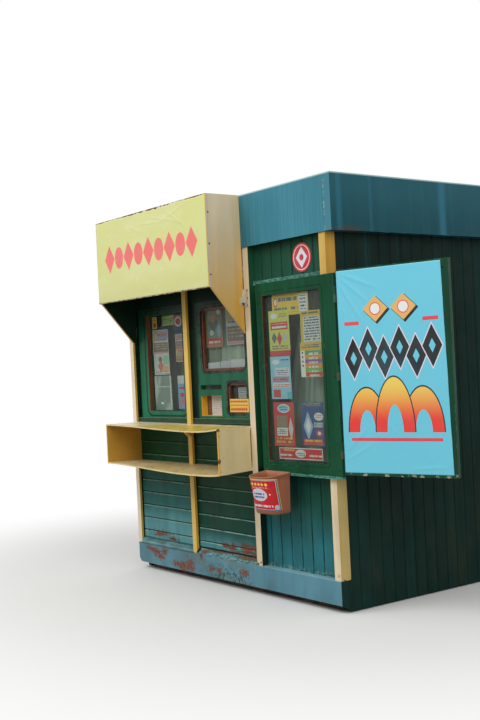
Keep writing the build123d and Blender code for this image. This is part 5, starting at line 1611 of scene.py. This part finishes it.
def label_print():
    """Red ground in a white, blue and yellow border, with a pale oval and rows of dashes."""
    sheet = Print("bin label print", (0, 0, 0), (1.0, 1.0), rgb(214, 180, 70), unrolled=True)
    sheet.lay(
        ("bar", 0.48, 0.49, 0.495, 0.48, NAVY), ("bar", 0.472, 0.495, 0.478, 0.462, rgb(206, 200, 206)),
        ("bar", 0.465, 0.5, 0.468, 0.448, rgb(196, 24, 34)),
        *[("lozenge", 0.10 + 0.12 * number, 0.83, 0.05, 0.055, rgb(240, 210, 70)) for number in range(6)],
        ("rules", 0.5, 0.72, 0.3, 0.02, 1, rgb(224, 190, 180), 0.35),
        ("disc", 0.42, 0.5, 0.27, 0.2, rgb(210, 206, 216)), ("rules", 0.42, 0.5, 0.19, 0.1, 2, NAVY, 0.35),
        ("rules", 0.45, 0.17, 0.34, 0.06, 1, rgb(214, 206, 206), 0.3),
        ("lozenge", 0.76, 0.52, 0.02, 0.03, WHITE),
        ("disc", 0.88, 0.12, 0.06, 0.07, rgb(180, 186, 200)),
    )
    return sheet.finish(0.4, 0.04, 0.0006)


label_shell, label_flat = bin_label()
label = plain_piece("bin_label", label_print(), [label_shell], "sign_sheet", True)
unroll(label, np.concatenate([label_flat.reshape(-1, 2)] * 2))


# Screws and nails
black_screw = steel("black screw", rgb(24, 24, 24), 0.0, 0.3)
rusty_nail = steel("rusty nail", rgb(120, 80, 48), 0.3, 0.2)
STREETWARD, SIDEWAYS = (0, -1, 0), (1, 0, 0)
NAIL_HEAD = (0.0035, 0.0012)
frame_screws = [
    head((x, SHOW_FRAME_LOW[1], z), STREETWARD, 0.006, 0.0018)
    for x in (SHOW_FRAME_LOW[0] + 0.036, SHOW_FRAME_HIGH[0] - 0.03)
    for z in (0.899, 1.48, 2.066)
]
canopy_screws = [head((RIGHT_POST_LEFT, -1.323, z), SIDEWAYS, 0.006, 0.002) for z in (2.2, 2.41, 2.623)]
shelf_nails = [head((RIGHT_POST_LEFT, -1.316, z), SIDEWAYS, *NAIL_HEAD) for z in (0.868, 0.948, 1.11)]
siding_nails = [
    head((x, SIDING_LOW[1] + 0.0005, first + (course - 0.75) * COURSE), STREETWARD, *NAIL_HEAD, 8)
    for (bay_left, bay_right), first in zip(BAYS, FIRST_LAPS)
    for course in range(9)
    for x in (bay_left + 0.03, bay_right - 0.03)
]
corner_screw = np.array([*HINGE[:2], 2.08]) + 0.738 * LEAF_ALONG
leaf_screws = [head(corner_screw, LEAF_OUT, 0.008, 0.003)]
plain_piece("show_frame_screws", black_screw, frame_screws, "dark_steel", True)
plain_piece("canopy_screws", black_screw, canopy_screws, "dark_steel", True)
plain_piece("shelf_nails", rusty_nail, shelf_nails, "rusty_steel", True)
plain_piece("siding_nails", siding, siding_nails, "board_green", True)
plain_piece("leaf_screws", black_screw, leaf_screws, "dark_steel", True, body="shutter")

# Seams on the roof sheet
ROOF_LOW, ROOF_HIGH = low_high("roof")
ROOF_FALL = 0.030
SEAM_OUTLINE = ((-0.004, -0.002), (0.004, -0.002), (0.003, 0.022), (-0.003, 0.022))


def roof_seam(x):
    """A standing seam: a narrow upright fold carried along the fall of the roof."""
    way = np.linspace(WALL_BACK + 0.02, ROOF_HIGH[1] - 0.02, 12)
    level = ROOF_HIGH[2] - ROOF_FALL * (way - WALL_BACK) / (ROOF_HIGH[1] - WALL_BACK)
    side, rise = np.array(SEAM_OUTLINE).T
    points = np.broadcast_arrays(x + side, way[:, None], level[:, None] + rise)
    return swept(np.stack(points, -1))


seams = [roof_seam(x) for x in np.linspace(ROOF_LOW[0] + 0.3, ROOF_HIGH[0] - 0.3, 5)]
plain_piece("roof_seams", steel("seam sheet", rgb(158, 162, 160), 0.02, 0.5), seams, "roof_sheet")


# Floor, background, light and camera
WHITE_LIGHT = (1, 1, 1, 1)
FLOOR_REACH = 30.0
SKY_STRENGTH = 0.62


def pale_floor():
    """Pale floor that fades to the white background away from the kiosk."""
    paint = Paint("pale floor")
    colour = paint.mix(paint.ray("Diffuse"), rgb(226, 226, 224), rgb(150, 150, 148))
    white = paint.node("ShaderNodeEmission")
    white.inputs["Color"].default_value = WHITE_LIGHT
    away = paint.vector("LENGTH", paint.vector("MULTIPLY", paint.place, (1, 1, 0)))
    paint.veil(away.ramp(2.2, 5.0) * paint.ray("Camera"), paint.shader.outputs[0], white.outputs[0])
    return paint.settle({"Base Color": colour, "Roughness": 0.8})


def stage_floor():
    """A wide square of floor for the kiosk's shadow."""
    mesh = bpy.data.meshes.new("studio_floor")
    corners = FLOOR_REACH * np.array([(-1, -1, 0), (1, -1, 0), (1, 1, 0), (-1, 1, 0)])
    mesh.from_pydata(corners.tolist(), [], [(0, 1, 2, 3)])
    mesh.materials.append(pale_floor())
    made = bpy.data.objects.new("studio_floor", mesh)
    bpy.context.scene.collection.objects.link(made)


def white_world():
    """A soft even sky; what camera, mirror and glass rays see of it is white."""
    world = bpy.data.worlds.new("studio")
    bpy.context.scene.world = world
    world.use_nodes = True
    sky = Nodes(world.node_tree)
    seen = most(*[sky.ray(kind) for kind in ("Camera", "Glossy", "Transmission")])
    background = sky.node("ShaderNodeBackground")
    light = sky.joined(background, {"Color": WHITE_LIGHT, "Strength": seen.ramp(0, 1, SKY_STRENGTH, 1.0)})
    sky.feed(sky.node("ShaderNodeOutputWorld").inputs[0], light)


def soft_lamp(name, place, target, size, power):
    """A large square lamp that looks at a point."""
    light = bpy.data.lights.new(name, "AREA")
    light.size = size
    light.energy = power
    lamp = bpy.data.objects.new(name, light)
    aim = (Vector(target) - Vector(place)).to_track_quat("-Z", "Y")
    lamp.matrix_world = Matrix.Translation(place) @ aim.to_matrix().to_4x4()
    bpy.context.scene.collection.objects.link(lamp)


CAMERA_PLACE = Vector((6.185, -5.408, 1.561))
CAMERA_AZIMUTH = radians(53.6226)
CAMERA_PITCH = radians(0.4419)
CAMERA_ROLL = radians(-2.7758)
FOCAL_PIXELS = 1057.8
FRAME_PIXELS_HIGH = 720
SENSOR = 36.0


def camera():
    """The photograph's view: a level sight line turned by azimuth, tipped by pitch, rolled about itself."""
    ahead = Vector((
        -sin(CAMERA_AZIMUTH) * cos(CAMERA_PITCH), cos(CAMERA_AZIMUTH) * cos(CAMERA_PITCH), sin(CAMERA_PITCH),
    ))
    level = Vector((cos(CAMERA_AZIMUTH), sin(CAMERA_AZIMUTH), 0))
    upright = level.cross(ahead)
    side = cos(CAMERA_ROLL) * level + sin(CAMERA_ROLL) * upright
    up = cos(CAMERA_ROLL) * upright - sin(CAMERA_ROLL) * level
    lens = bpy.data.cameras.new("camera")
    lens.sensor_fit = "VERTICAL"
    lens.sensor_height = SENSOR
    lens.lens = FOCAL_PIXELS / FRAME_PIXELS_HIGH * SENSOR
    made = bpy.data.objects.new("camera", lens)
    turn = Matrix((side, up, -ahead)).transposed().to_4x4()
    made.matrix_world = Matrix.Translation(CAMERA_PLACE) @ turn
    bpy.context.scene.collection.objects.link(made)
    bpy.context.scene.camera = made


stage_floor()
white_world()
soft_lamp("key", (-1.0, -7.0, 7.5), (0, 0, 1.2), 5.0, 400)
soft_lamp("side", (7.6, -3.6, 5.0), (0.5, 0, 1.2), 5.0, 210)
camera()
bpy.context.scene.view_settings.view_transform = "Standard"
